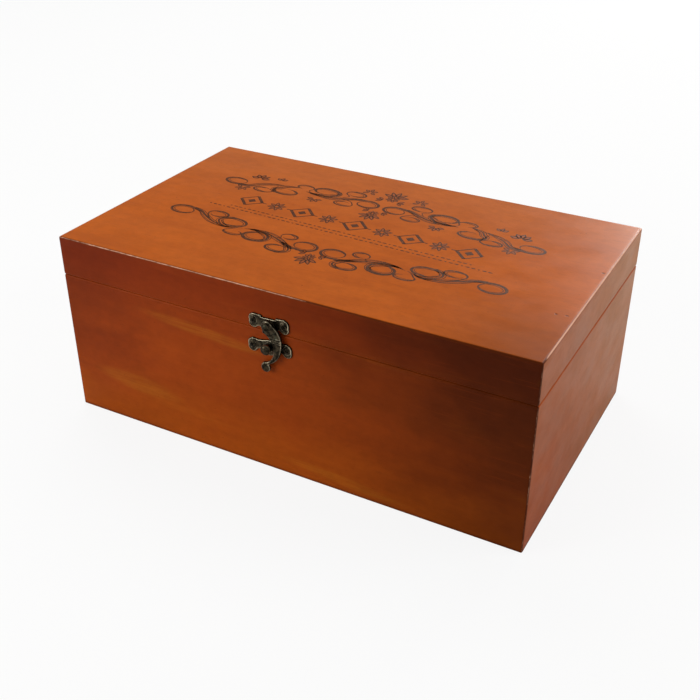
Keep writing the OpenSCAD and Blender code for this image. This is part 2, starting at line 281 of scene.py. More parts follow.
@dataclass(frozen=True)
class WoodMarks:
    """What the wood's material reads from a board.

    The grain runs along each board. The tone is 1 on the top and 0 on the sides, bare is 1 where
    the wood has no stain, and arris is 0 on the flats and rises on the rounded edges.
    """

    grain: Socket
    place: Socket
    x: Socket
    y: Socket
    z: Socket
    tone: Socket
    bare: Socket
    arris: Socket


@dataclass(frozen=True)
class StainedWood:
    """Pale softwood, wiped with a red-brown stain and sprayed with satin lacquer.

    The stain gives a warm, slightly blotchy colour that sits darker in the pores; the lacquer gives
    a soft sheen that breaks up on the sanded, rubbed arrises, where paler wood shows through. The
    pale colour of the rubbed arrises is partly real wear and partly a painted highlight. More of
    the colour is painted light and shade: a darker second coat for the shade on the front and the
    front right of the top, a paler stain for light bounced onto the front's foot, a whitish wash
    for the sheen on the short sides and the back of the top, a brighter colour that lifts the
    shade of the seam's groove, and dark lines for the shade along the rounded edges and the foot.
    """

    side_stain: str = "#963e0d"
    side_deep: str = "#89370b"
    top_stain: str = "#b75914"
    top_deep: str = "#ad5211"
    # Painted shade and light: the dark and red coats stand for shade, the paler stain for light
    # bounced onto the front's foot.
    shade_glaze: str = "#240c02"
    red_shade_glaze: str = "#611303"
    bounce_stain: str = "#b65c12"
    # Painted sheen: the whitish wash of light reflected from the short sides and the back of the
    # top.
    bloom: str = "#bc9a70"
    pale_streak: str = "#b8701f"
    # Painted light: lifts the shade in the seam's groove.
    seam_light: str = "#a84c14"
    # Pale rubbed arrises: partly real wear, partly a painted highlight.
    worn: str = "#d9a184"
    bare: str = "#c79a62"
    bare_dark: str = "#a87a45"
    pore: str = "#431905"
    figure_mm: Vec3 = (180.0, 12.0, 12.0)
    blotch_mm: Vec3 = (46.0, 26.0, 26.0)
    grain_mm: Vec3 = (34.0, 0.9, 0.9)
    # Real pores are 0.1 mm wide; they are drawn wider so that they show in the render.
    pore_mm: Vec3 = (9.0, 0.42, 0.42)
    rub_mm: Vec3 = (3.6, 1.8, 1.8)
    rub_long_mm: Vec3 = (34.0, 9.0, 9.0)
    smear_mm: Vec3 = (26.0, 18.0, 18.0)
    mottle_mm: Vec3 = (7.0, 5.0, 5.0)
    nick_mm: Vec3 = (2.4, 1.8, 1.8)
    peel_mm: Vec3 = (1.1, 1.1, 1.1)
    lacquer_rough: float = 0.36
    bare_rough: float = 0.78
    gloss_level: float = 0.045
    relief_m: float = 2.4e-5
    # Filled nail holes and dents.
    pits: Spots = (
        ((177.5, 102.2, 68.7), (1.5, 1.7, 0.8)),
        ((174.0, 21.0, 140.0), (1.6, 1.1, 1.5)),
        ((164.9, -46.6, 140.0), (1.3, 1.0, 1.5)),
        ((171.5, -45.5, 140.0), (1.6, 0.9, 1.5)),
    )
    # Places where the stain took less and the wood looks yellow, which fall a little along X.
    pale_marks: Spots = (
        ((-60.0, -105.0, 91.0), (62.0, 3.0, 5.5)),
        ((50.0, -105.0, 13.0), (58.0, 3.0, 5.0)),
        ((-120.0, -105.0, 26.0), (46.0, 3.0, 9.0)),
        ((177.0, -104.0, 139.5), (3.2, 2.4, 3.0)),
    )
    pale_fall: float = 0.075
    pale_share: float = 0.34
    # Fades named by an axis run along it in millimetres; the next ones place the painted shade of
    # the second coat and the painted light along the front's foot.
    front_y: Fade = (-103.0, -104.5)
    shade_edge_z: Fade = (78.0, 134.0, 0.0, 0.5)
    bounce_foot_z: Fade = (60.0, 4.0, 0.0, 0.32)
    shade_end_x: Fade = (-60.0, -176.0, 0.0, 0.34)
    shade_end_z: Fade = (10.0, 70.0, 0.5, 1.0)
    shade_right_x: Fade = (0.0, 215.0, 0.0, 0.78)
    shade_right_z: Fade = (0.0, 90.0, 0.8, 1.0)
    # Painted shadow: the dark coat slants to reach further left near the top, beside the latch.
    shade_right_lean: float = 0.4
    shade_left_x: Fade = (-110.0, -176.0, 0.0, 0.16)
    shade_left_z: Fade = (20.0, 80.0)
    shade_corner_x: Fade = (70.0, 180.0, 0.0, 0.40)
    shade_corner_y: Fade = (-10.0, -100.0)
    bend_x_mm: float = 90.0
    bend_z_mm: float = 60.0
    # Painted sheen: a whitish wash that stands for light reflected at a grazing angle.
    sheen_y: Fade = (-115.0, 115.0, 0.03, 0.25)
    sheen_z: Fade = (0.0, 150.0, 0.02, 0.15)
    sheen_right_x: Fade = (176.4, 177.2)
    sheen_left_x: Fade = (-176.4, -177.2, 0.0, 0.5)
    sheen_top_y: Fade = (-10.0, 105.0, 0.0, 0.07)
    sheen_free_arris: Fade = (0.02, 0.2, 1.0, 0.0)
    # Painted light: a brighter colour on the rounded arrises of the seam lifts the shade of its
    # groove; painted shade: dark lines along the other rounded edges.
    seam_light_in: Fade = (0.04, 0.26, 0.0, 0.5)
    seam_light_out: Fade = (0.30, 0.36, 1.0, 0.0)
    shaded_arris: Fade = (0.34, 0.56, 0.0, 0.75)
    # Painted shade along the foot, where the box stands on the floor.
    shaded_foot_z: Fade = (3.4, 1.0, 0.0, 0.5)
    # Where the pale rubbed colour, partly a painted highlight, begins and is full.
    worn_highlight_arris: Fade = (1.26, 1.64)
    # Cuts through the patterns' noise.
    stain_depth: Fade = (0.34, 0.64)
    bite: Fade = (0.34, 0.62, 0.3, 1.0)
    streaks: Fade = (0.60, 0.80, 0.0, 0.14)
    mottle: Fade = (0.3, 0.7, 0.94, 1.05)
    dark_grain: Fade = (0.40, 0.30, 0.0, 0.16)
    bare_grain: Fade = (0.35, 0.65)
    pores: Fade = (0.66, 0.74)
    nicks: Fade = (0.73, 0.78, 0.0, 0.45)

    def spots(self, g: Graph, on: WoodMarks, marks: Spots, fall: float = 0.0) -> Socket:
        """Share of the strongest of several soft ellipsoids: 1 inside, 0 outside.

        Args:
            g: The graph.
            on: What the board says.
            marks: The ellipsoids.
            fall: How much lower they lie for each millimetre along X.

        Returns:
            The share.
        """
        level = g.math("MULTIPLY_ADD", on.x, fall, on.z)
        bent = g.add("CombineXYZ", {0: on.x, 1: on.y, 2: level}).outputs[0]
        total = 0.0
        for middle, half in marks:
            off = g.add("VectorMath", {0: bent, 1: middle}, operation="SUBTRACT").outputs[0]
            off = g.add("VectorMath", {0: off, 1: half}, operation="DIVIDE").outputs[0]
            reach = g.add("VectorMath", {0: off}, operation="LENGTH").outputs["Value"]
            total = g.math("MAXIMUM", total, g.ramp(reach, 1.0, 0.45))
        return total

    def painted_light_and_shade(self, g: Graph, on: WoodMarks, blotch: Socket, colour: Socket) -> Socket:
        """Lays on painted light and shade as a second coat.

        On the front a red coat paints shade over the upper edge and the left end, a paler stain
        paints the light bounced onto the foot, and a dark coat paints the shade that deepens
        towards the right end, reaching further left near the top where it paints the shadow beside
        the latch, and a little at the upper left end; on the top the dark coat paints the shade
        towards the front right corner. The blotches bend their limits.

        Args:
            g: The graph.
            on: What the board says.
            blotch: The blotches of the stain.
            colour: The colour under it.

        Returns:
            The colour with the painted light and shade.
        """
        bend = g.math("SUBTRACT", blotch, 0.5)
        x = g.math("MULTIPLY_ADD", bend, self.bend_x_mm, on.x)
        z = g.math("MULTIPLY_ADD", bend, self.bend_z_mm, on.z)
        front = g.times(g.ramp(on.y, *self.front_y), g.rest(on.tone))
        end_shade = g.times(g.ramp(x, *self.shade_end_x), g.ramp(z, *self.shade_end_z))
        for share, coat in ((g.ramp(z, *self.shade_edge_z), self.red_shade_glaze),
                            (g.ramp(z, *self.bounce_foot_z), self.bounce_stain),
                            (end_shade, self.red_shade_glaze)):
            colour = g.mix(g.times(front, share), colour, coat)
        lean = g.math("MULTIPLY_ADD", z, self.shade_right_lean, x)
        right = g.times(g.ramp(lean, *self.shade_right_x), g.ramp(z, *self.shade_right_z))
        left = g.times(g.ramp(x, *self.shade_left_x), g.ramp(z, *self.shade_left_z))
        ends = g.times(front, g.math("MAXIMUM", right, left))
        corner = g.times(g.ramp(x, *self.shade_corner_x), g.ramp(on.y, *self.shade_corner_y))
        return g.mix(g.math("MULTIPLY_ADD", corner, on.tone, ends), colour, self.shade_glaze)

    def sheen_share(self, g: Graph, on: WoodMarks) -> Socket:
        """Share of the painted sheen on the two short sides and the back of the top: a whitish wash
        that stands for light reflected at a grazing angle.

        It is the thickest at the upper back of the right side, and half as thick on the left one,
        and the rounded arrises along the seam are free of it. On the top it is a trace only.

        Args:
            g: The graph.
            on: What the board says.

        Returns:
            The share.
        """
        rising = g.math("ADD", g.ramp(on.y, *self.sheen_y), g.ramp(on.z, *self.sheen_z))
        ends = g.math("ADD", g.ramp(on.x, *self.sheen_right_x), g.ramp(on.x, *self.sheen_left_x))
        clear = g.times(g.ramp(on.arris, *self.sheen_free_arris), g.rest(on.tone))
        sides = g.times(rising, ends, clear)
        return g.math("MULTIPLY_ADD", g.ramp(on.y, *self.sheen_top_y), on.tone, sides)

    def stained(self, g: Graph, on: WoodMarks, fine: Socket) -> Socket:
        """Colour of the stain, from its blotches to the painted light, shade and sheen over it.

        Args:
            g: The graph.
            on: What the board says.
            fine: The fine grain.

        Returns:
            The colour.
        """
        figure = g.noise(on.grain, self.figure_mm, 4.0, 0.55, 0.5)
        blotch = g.noise(on.grain, self.blotch_mm, 3.0, 0.5)
        depth = g.math("MULTIPLY_ADD", figure, 0.4, g.times(blotch, 0.6))
        depth = g.ramp(depth, *self.stain_depth)
        side = g.mix(depth, self.side_deep, self.side_stain)
        top = g.mix(depth, self.top_deep, self.top_stain)
        colour = g.mix(on.tone, side, top)
        pale = self.spots(g, on, self.pale_marks, self.pale_fall)
        pale = g.times(pale, g.ramp(fine, *self.bite), self.pale_share)
        streak = g.times(g.ramp(figure, *self.streaks), g.rest(on.tone))
        colour = g.mix(g.math("MAXIMUM", streak, pale), colour, self.pale_streak)
        # Painted light on the seam's arrises, against the shade of the groove.
        seam = g.times(g.ramp(on.arris, *self.seam_light_in), g.ramp(on.arris, *self.seam_light_out))
        colour = g.mix(seam, colour, self.seam_light)
        colour = self.painted_light_and_shade(g, on, blotch, colour)
        # Painted sheen over the stain.
        colour = g.mix(self.sheen_share(g, on), colour, self.bloom)
        grey = g.ramp(g.noise(on.grain, self.mottle_mm, 3.0, 0.6), *self.mottle)
        grey = g.add("CombineColor", {0: grey, 1: grey, 2: grey}).outputs[0]
        colour = g.mix(1.0, colour, grey, "MULTIPLY")
        return g.mix(g.ramp(fine, *self.dark_grain), colour, self.side_deep)

    def material(self) -> Material:
        """Builds the wood, which follows each board's own "grain" coordinates.

        Returns:
            The material.
        """
        material, g = new_material("stained_lacquered_softwood")
        grain = g.add("Attribute", attribute_name="grain").outputs["Vector"]
        place = g.object_mm()
        on = WoodMarks(grain, place, *g.axes(place),
                       *(g.mark(name) for name in ("tone", "bare", "arris")))
        fine = g.noise(grain, self.grain_mm, 3.0, 0.6)
        pores = g.ramp(g.noise(grain, self.pore_mm, 1.0), *self.pores)
        raw = g.mix(g.ramp(fine, *self.bare_grain), self.bare_dark, self.bare)
        colour = g.mix(on.bare, self.stained(g, on, fine), raw)
        pit = self.spots(g, on, self.pits)
        nick = g.ramp(g.noise(place, self.nick_mm, 2.0), *self.nicks)
        dark = g.math("MAXIMUM", g.math("MULTIPLY_ADD", pores, 0.25, nick), g.times(pit, 0.85))
        colour = g.mix(dark, colour, self.pore)
        covered = g.rest(on.bare)
        chips = g.math("MULTIPLY_ADD", g.noise(grain, self.rub_long_mm, 2.0), 0.55,
                       g.times(g.noise(grain, self.rub_mm, 3.0, 0.6), 0.45))
        rubbed = g.ramp(g.math("MULTIPLY_ADD", chips, 1.1, on.arris), *self.worn_highlight_arris)
        rubbed = g.times(rubbed, covered)
        # Painted shade: dark lines along the foot and the rounded edges.
        foot = g.times(g.ramp(on.z, *self.shaded_foot_z), covered)
        colour = g.mix(g.math("MAXIMUM", foot, g.ramp(on.arris, *self.shaded_arris)), colour,
                       self.pore)
        # Partly real wear, partly a painted highlight along the arrises.
        colour = g.mix(rubbed, colour, self.worn)
        rough = g.ramp(g.noise(grain, self.smear_mm, 3.0), 0.3, 0.7, self.lacquer_rough - 0.04,
                       self.lacquer_rough + 0.06)
        dull = g.math("MAXIMUM", on.bare, g.times(rubbed, 0.5))
        rough = g.math("MULTIPLY_ADD", dull, self.bare_rough - self.lacquer_rough, rough)
        peel = g.noise(grain, self.peel_mm, 1.0)
        height = g.math("SUBTRACT", g.math("MULTIPLY_ADD", peel, 0.35, g.times(fine, 0.5)),
                        g.math("MULTIPLY_ADD", pit, 12.0, pores))
        bump = g.add("Bump", {"Strength": 0.5, "Distance": self.relief_m, "Height": height})
        shader = g.add("BsdfPrincipled", {"Base Color": colour, "Roughness": rough, "IOR": 1.5,
                                          "Specular IOR Level": self.gloss_level,
                                          "Normal": bump.outputs[0]})
        g.surface(shader.outputs[0])
        return material


@dataclass(frozen=True)
class PrintInk:
    """Dark brown screen-printing ink on lacquer: matt, thin, and rubbed through in small specks.

    Where a piece's "fade" is 1, the ink is the thin red-brown that fills the petals.
    """

    ink: str = "#4a2710"
    fill: str = "#964a1b"
    faded: str = "#86491d"
    speck_mm: Vec3 = (1.6, 1.6, 1.6)
    rough: float = 0.6

    def material(self) -> Material:
        """Builds the ink.

        Returns:
            The material.
        """
        material, g = new_material("screen_printed_brown_ink")
        speck = g.ramp(g.noise(g.object_mm(), self.speck_mm, 3.0, 0.6), 0.50, 0.68, 0.0, 0.6)
        colour = g.mix(speck, self.ink, self.faded)
        colour = g.mix(g.mark("fade"), colour, self.fill)
        shader = g.add("BsdfPrincipled", {"Base Color": colour, "Roughness": self.rough, "IOR": 1.5,
                                          "Specular IOR Level": 0.1})
        g.surface(shader.outputs[0])
        return material


@dataclass(frozen=True)
class AntiqueBronze:
    """Zinc castings plated in bronze, blackened, then buffed on their high edges.

    The blackening stays in the hollows, and the buffed rims and ridges catch the light.
    """

    black: str = "#17140e"
    mid: str = "#463d2f"
    buffed: str = "#b3a68c"
    green: str = "#3f4a3c"
    patch_mm: Vec3 = (2.6, 2.6, 2.6)
    green_mm: Vec3 = (4.0, 4.0, 4.0)
    cast_mm: Vec3 = (0.5, 0.5, 0.5)
    rough: float = 0.30
    relief_m: float = 6.0e-5

    def material(self) -> Material:
        """Builds the bronze, brighter where the piece's "edge" attribute is high.

        Returns:
            The material.
        """
        material, g = new_material("antique_bronze_plating")
        place = g.object_mm()
        edge = g.mark("edge")
        patch = g.noise(place, self.patch_mm, 4.0, 0.6)
        cast = g.noise(place, self.cast_mm, 2.0)
        colour = g.mix(g.ramp(patch, 0.38, 0.62), self.black, self.mid)
        verdigris = g.ramp(g.noise(place, self.green_mm, 2.0), 0.56, 0.74, 0.0, 0.5)
        colour = g.mix(verdigris, colour, self.green)
        buff = g.ramp(g.math("MULTIPLY_ADD", patch, 0.7, edge), 0.75, 1.15)
        colour = g.mix(buff, colour, self.buffed)
        rough = g.ramp(cast, 0.3, 0.7, self.rough - 0.06, self.rough + 0.14)
        bump = g.add("Bump", {"Strength": 0.5, "Distance": self.relief_m, "Height": cast})
        shader = g.add("BsdfPrincipled", {"Base Color": colour, "Metallic": 1.0, "Roughness": rough,
                                          "Normal": bump.outputs[0]})
        g.surface(shader.outputs[0])
        return material


@dataclass(frozen=True)
class DrawnSteel:
    """Bright drawn steel wire of the brads, with faint lines of drawing and a grey oxide bloom."""

    bright: str = "#a7a5a0"
    bloom: str = "#6f6c66"
    bloom_mm: Vec3 = (1.5, 1.5, 1.5)

    def material(self) -> Material:
        """Builds the steel.

        Returns:
            The material.
        """
        material, g = new_material("drawn_steel_wire")
        bloom = g.noise(g.object_mm(), self.bloom_mm, 3.0)
        colour = g.mix(g.ramp(bloom, 0.4, 0.7), self.bright, self.bloom)
        shader = g.add("BsdfPrincipled", {"Base Color": colour, "Metallic": 1.0,
                                          "Roughness": g.ramp(bloom, 0.3, 0.7, 0.3, 0.5)})
        g.surface(shader.outputs[0])
        return material


# ---------------------------------------------------------------- meshes


def grid_faces(rows: int, cols: int, loop_cols: bool = False) -> list[list[int]]:
    """Quads between neighbouring points of a grid whose points run row by row.

    Args:
        rows: Number of rows of points.
        cols: Number of points in a row.
        loop_cols: Whether the last point of a row joins the first.

    Returns:
        Four point numbers for each face.
    """
    r, c = np.mgrid[:rows - 1, :cols if loop_cols else cols - 1]
    nxt = (c + 1) % cols
    quad = np.stack([r * cols + c, r * cols + nxt, (r + 1) * cols + nxt, (r + 1) * cols + c], -1)
    return quad.reshape(-1, 4).tolist()


@dataclass
class Shell:
    """Points, faces and marks of one closed surface, in millimetres."""

    points: np.ndarray
    faces: list[list[int]]
    marks: dict[str, np.ndarray]

    def moved(self, move: Move) -> "Shell":
        """Returns the shell with its points put through a function."""
        return Shell(move(self.points), self.faces, self.marks)


def joined(shells: list[Shell]) -> Shell:
    """Puts several shells into one.

    Args:
        shells: Shells with the same marks.

    Returns:
        One shell that holds them all.
    """
    starts = np.cumsum([0] + [len(s.points) for s in shells[:-1]]).tolist()
    faces = [[i + at for i in face] for s, at in zip(shells, starts) for face in s.faces]
    marks = {k: np.concatenate([s.marks[k] for s in shells]) for k in shells[0].marks}
    return Shell(np.concatenate([s.points for s in shells]), faces, marks)


def make_piece(name: str, shell: Shell, body: Body, material: Material,
               replaces: str | None = None, crease_deg: float = 30.0) -> None:
    """Makes a Blender object from a shell, hangs it on its body and hides the CAD node that it
    stands for.

    Args:
        name: The piece's name.
        shell: Its surface in millimetres.
        body: The body that it rides on.
        material: Its material.
        replaces: The CAD node that it stands for, if any.
        crease_deg: Edges that turn more than this stay sharp.
    """
    mesh = bpy.data.meshes.new(name)
    mesh.from_pydata((shell.points * MM).tolist(), [], shell.faces)
    for key, values in shell.marks.items():
        flat = values.ndim == 1
        layer = mesh.attributes.new(key, "FLOAT" if flat else "FLOAT_VECTOR", "POINT")
        layer.data.foreach_set("value" if flat else "vector", values.astype(np.float32).ravel())
    work = bmesh.new()
    work.from_mesh(mesh)
    bmesh.ops.remove_doubles(work, verts=work.verts, dist=MERGE_MM * MM)
    bmesh.ops.dissolve_degenerate(work, edges=work.edges, dist=MERGE_MM * MM)
    bmesh.ops.recalc_face_normals(work, faces=work.faces)
    work.to_mesh(mesh)
    work.free()
    mesh.materials.append(material)
    mesh.shade_smooth()
    mesh.set_sharp_from_angle(angle=math.radians(crease_deg))
    piece = bpy.data.objects.new(name, mesh)
    bpy.context.scene.collection.objects.link(piece)
    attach(piece, body.value)
    if replaces:
        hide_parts(replaces)
    log.info("%s: %d faces on %s", name, len(mesh.polygons), body.value)


def dress_node(node: str, material: Material) -> None:
    """Gives a carried-over CAD node its material."""
    for place in frame["nodes"][node].material_slots:
        place.material = material
    log.info("%s: CAD node dressed", node)


def arc(cx: float, cy: float, r: float, start_deg: float, end_deg: float, n: int = 6) -> np.ndarray:
    """Points (cx + r cos a, cy + r sin a) for n + 1 angles between two ends.

    Args:
        cx: Centre, first coordinate.
        cy: Centre, second coordinate.
        r: Radius.
        start_deg: First angle.
        end_deg: Last angle.
        n: Number of steps.

    Returns:
        The points, one in each row.
    """
    a = np.radians(np.linspace(start_deg, end_deg, n + 1))
    return np.stack([cx + r * np.cos(a), cy + r * np.sin(a)], -1)


def rise(x: np.ndarray, low: float, high: float) -> np.ndarray:
    """Smooth step t^2 (3 - 2t) from 0 at low to 1 at high."""
    t = np.clip((x - low) / (high - low), 0, 1)
    return t * t * (3 - 2 * t)


# ---------------------------------------------------------------- boards

# How far a board's grain pattern is moved along, up and into the wood, for each unit of its shift.
GRAIN_STEP = np.array([1.0, 0.37, 0.11])
WALL_SHIFT = 431.0


@dataclass(frozen=True)
class BoxSizes:
    """Sizes that the boards share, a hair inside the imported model, and their arrises' wear."""

    half_l: float = node_box("lid_top_panel")[1, 0] - HAIR_MM
    half_w: float = node_box("lid_top_panel")[1, 1] - HAIR_MM
    wall: float = np.ptp(node_box("front_board")[:, 1])
    seam_z: float = pivot_of("lid_hinge")[2]
    seam_half: float = 0.02
    seam_r: float = 1.3
    corner_r: float = 1.2
    inner_r: float = 0.35
    # Width of the worn and of the half-stained strips beside an arris.
    fade: float = 1.5
    lip: float = 4.0
    # Depth inside the outer face from which the glued faces of the panels are bare.
    bare_in: float = 6.0
    seam_wear: float = 0.3
    foot_wear: float = 0.66
    corner_wear: float = 0.8


@dataclass(frozen=True)
class Profile:
    """Closed cross-section of a board: depth from the outer face, height, rub and bareness."""

    depth: np.ndarray
    z: np.ndarray
    rub: np.ndarray
    bare: np.ndarray


def round_arris(r: float, z: float, start_deg: float, n: int = 6) -> np.ndarray:
    """Quarter arc about depth r and height z, run backwards from an angle.

    Args:
        r: Radius.
        z: Height of its centre.
        start_deg: First angle, 270 at a lower arris and 180 at an upper one.
        n: Number of steps.

    Returns:
        Depth, height, sine of twice the angle run, and share run, one point in each row.
    """
    run = np.linspace(0, 1, n + 1)
    return np.column_stack([arc(r, z, r, start_deg, start_deg - 90, n), np.sin(math.pi * run), run])


def board_profile(sizes: BoxSizes, z0: float, z1: float, r_lo: float, r_hi: float,
                  side_steps: int = 4) -> Profile:
    """Cross-section of a wall board.

    The outer face has arcs of r_lo and r_hi at its ends. The rub is the sine of twice the arc's
    angle, 1 in the middle of an arc, and falls to 0 over the fade on the flats beside it. The inner
    face is bare wood, and the seam faces are half stained.

    Args:
        sizes: The box's shared sizes.
        z0: Lower end.
        z1: Upper end.
        r_lo: Radius of the lower outer arris, 0 for a glued joint.
        r_hi: Radius of the upper outer arris, 0 for a glued joint.
        side_steps: Steps along a flat.

    Returns:
        The profile, running up the outer face and down the inner one.
    """
    wear, fade, inner = sizes.seam_wear, sizes.fade, sizes.wall - sizes.inner_r
    low = z0 + r_lo + fade if r_lo > 0 else z0
    high = z1 - r_hi - fade if r_hi > 0 else z1
    rows: list[tuple[float, float, float, float]] = []
    if r_lo > 0:
        rows += [(d, z0, 0.0, 0.5) for d in (sizes.lip, r_lo + fade)]
        rows += [(d, z, wear * rub, 0.0) for d, z, rub, _ in round_arris(r_lo, z0 + r_lo, 270)]
    rows += [(0.0, z, 0.0, 0.0) for z in np.linspace(low, high, side_steps + 1)]
    if r_hi > 0:
        rows += [(d, z, wear * rub, 0.0) for d, z, rub, _ in round_arris(r_hi, z1 - r_hi, 180)]
        rows += [(d, z1, 0.0, 0.5) for d in (r_hi + fade, sizes.lip)]
    rows += [(d, z, 0.0, 0.8) for d, z in arc(inner, z1 - sizes.inner_r, sizes.inner_r, 90, 0, 3)]
    rows += [(sizes.wall, z, 0.0, 1.0) for z in np.linspace(z1 - fade, z0 + fade, side_steps + 1)]
    rows += [(d, z, 0.0, 0.8) for d, z in arc(inner, z0 + sizes.inner_r, sizes.inner_r, 0, -90, 3)]
    return Profile(*np.array(rows).T)


def mitred_board(sizes: BoxSizes, side: Side, profile: Profile, shift: float) -> Shell:
    """Carries a profile along one wall of the box, between two mitre planes.

    At depth d the corner arris has radius c = max(corner_r - d, 0). Columns lie at fixed places up
    to the arc, then at x = L - max(d, corner_r) + c sin f, y = W - d - c (1 - cos f), where f goes
    from 0 to 45 degrees and ends on the mitre plane. Columns past the mitre at a deeper layer close
    up on it.

    Args:
        sizes: The box's shared sizes.
        side: Which wall.
        profile: Its cross-section.
        shift: How far its grain pattern is moved, so that no two boards match.

    Returns:
        The board.
    """
    along_x = side in (Side.FRONT, Side.BACK)
    half_l, half_w = (sizes.half_l, sizes.half_w) if along_x else (sizes.half_w, sizes.half_l)
    r = sizes.corner_r
    flat = half_l - r
    fixed = np.concatenate([np.linspace(0, flat - 12, 7), [flat - 6, flat - sizes.fade, flat]])
    turn = np.radians(np.linspace(0, 45, 5))[1:]
    keep = np.minimum(fixed[:, None], half_l - np.maximum(profile.depth, r)[None, :])
    c = np.maximum(r - profile.depth, 0)[None, :]
    bend = half_l - np.maximum(profile.depth, r)[None, :] + c * np.sin(turn)[:, None]
    half = np.concatenate([keep, bend])
    sink = np.concatenate([np.zeros_like(keep), c * (1 - np.cos(turn))[:, None]])
    end_rub = np.concatenate([np.zeros(len(fixed)), sizes.corner_wear * np.sin(turn * 2)])
    x = np.concatenate([-half[:0:-1], half])
    sink = np.concatenate([sink[:0:-1], sink])
    rub_end = np.concatenate([end_rub[:0:-1], end_rub])[:, None] * (profile.depth < r)[None, :]
    depth = profile.depth[None, :] + sink
    z = np.broadcast_to(profile.z, x.shape)
    y = -half_w + depth
    rows, cols = x.shape
    points = np.stack([x, y, z], -1).reshape(-1, 3)
    grain = np.stack([x, z, depth], -1).reshape(-1, 3) + shift * GRAIN_STEP
    rub = np.maximum(rub_end, profile.rub[None, :]).ravel()
    faces = grid_faces(rows, cols, True)
    faces += [list(range(cols)), list(range((rows - 1) * cols, rows * cols))[::-1]]
    a = side.value * math.pi / 2
    spin = np.array([[math.cos(a), math.sin(a), 0], [-math.sin(a), math.cos(a), 0], [0, 0, 1]])
    marks = {"grain": grain, "arris": rub, "tone": np.zeros(rows * cols),
             "bare": np.tile(profile.bare, rows)}
    return Shell(points @ spin, faces, marks)


def soft_slab(sizes: BoxSizes, rings: list[Ring], shift: float, side_steps: int = 14) -> Shell:
    """Carries a profile round the box's rounded outline and closes it with two flat faces.

    At depth d the outline is a rectangle of half sides L - max(d, r) and W - max(d, r) with arcs of
    radius max(r - d, 0) about its corners.

    Args:
        sizes: The box's shared sizes.
        rings: Depth, height, rub, tone and bareness of each ring, from the lower face to the upper.
        shift: How far its grain pattern is moved.
        side_steps: Columns between two corners.

    Returns:
        The slab.
    """
    turn = np.radians(np.linspace(0, 90, 9))
    quarter = np.repeat(np.arange(4), len(turn) + side_steps)
    steps = np.concatenate([np.zeros(len(turn)), np.linspace(0, 1, side_steps + 2)[1:-1]])
    turn = np.concatenate([turn, np.full(side_steps, turn[-1])])
    angle = quarter * math.pi / 2 + np.tile(turn, 4)
    along = np.tile(steps, 4)
    sx, sy = np.array([1, -1, -1, 1])[quarter], np.array([1, 1, -1, -1])[quarter]
    ex, ey = np.roll([1, -1, -1, 1], -1)[quarter], np.roll([1, 1, -1, -1], -1)[quarter]
    table = np.array(rings)
    depth, z = table[:, 0:1], table[:, 1:2]
    inset = np.maximum(depth, sizes.corner_r)
    r = np.maximum(sizes.corner_r - depth, 0)
    x = (sx + (ex - sx) * along) * (sizes.half_l - inset) + r * np.cos(angle)
    y = (sy + (ey - sy) * along) * (sizes.half_w - inset) + r * np.sin(angle)
    corner = sizes.corner_wear * np.abs(np.sin(2 * angle)) * (depth < sizes.corner_r)
    rub = np.maximum(table[:, 2:3], corner)
    rows, cols = x.shape
    points = np.stack([x, y, np.broadcast_to(z, x.shape)], -1).reshape(-1, 3)
    grain = points + shift * GRAIN_STEP
    faces = grid_faces(rows, cols, True)
    faces += [list(range(cols))[::-1], list(range((rows - 1) * cols, rows * cols))]
    marks = {"grain": grain, "arris": rub.ravel(), "tone": np.repeat(table[:, 3], cols),
             "bare": np.repeat(table[:, 4], cols)}
    return Shell(points, faces, marks)


def glued_rings(sizes: BoxSizes, z: float) -> list[Ring]:
    """Returns the rings of a panel's glued face at a height, bare within and stained outside."""
    return [(sizes.bare_in, z, 0.0, 0.0, 1.0), (sizes.lip, z, 0.0, 0.0, 0.6),
            (0.0, z, 0.0, 0.0, 0.0)]


def add_walls(sizes: BoxSizes, profile: Profile, body: Body, nodes: str, wood: Material) -> None:
    """Makes the four mitred boards of the base or of the lid.

    Args:
        sizes: The box's shared sizes.
        profile: Their cross-section.
        body: The body that they ride on.
        nodes: Names of the CAD nodes, with braces for the side.
        wood: Their material.
    """
    for side in Side:
        node = nodes.format(side.name.lower())
        shell = mitred_board(sizes, side, profile, WALL_SHIFT * (side.value + 1))
        make_piece(f"stained_{node}", shell, body, wood, node)


@dataclass
class Carcass:
    """The base: four mitred boards on a bottom panel."""

    sizes: BoxSizes
    bottom: float = node_box("bottom_panel")[1, 2]
    foot: float = 0.02
    foot_r: float = 1.0
    shift: float = 77.0

    def build(self, wood: Material) -> None:
        """Makes the five boards of the base.

        Args:
            wood: Their material.
        """
        sizes = self.sizes
        top = sizes.seam_z - sizes.seam_half
        profile = board_profile(sizes, self.bottom, top, 0.0, sizes.seam_r)
        add_walls(sizes, profile, Body.BASE, "{}_board", wood)
        fade = self.foot_r + sizes.fade
        rings = [(fade, self.foot, 0.0, 0.0, 0.9)]
        rings += [(d, z, sizes.foot_wear * rub, 0.0, 0.0)
                  for d, z, rub, _ in round_arris(self.foot_r, self.foot + self.foot_r, 270)]
        rings.append((0.0, self.foot + fade, 0.0, 0.0, 0.0))
        rings += glued_rings(sizes, self.bottom)[::-1]
        make_piece("stained_bottom_panel", soft_slab(sizes, rings, self.shift), Body.BASE,
                   wood, "bottom_panel")


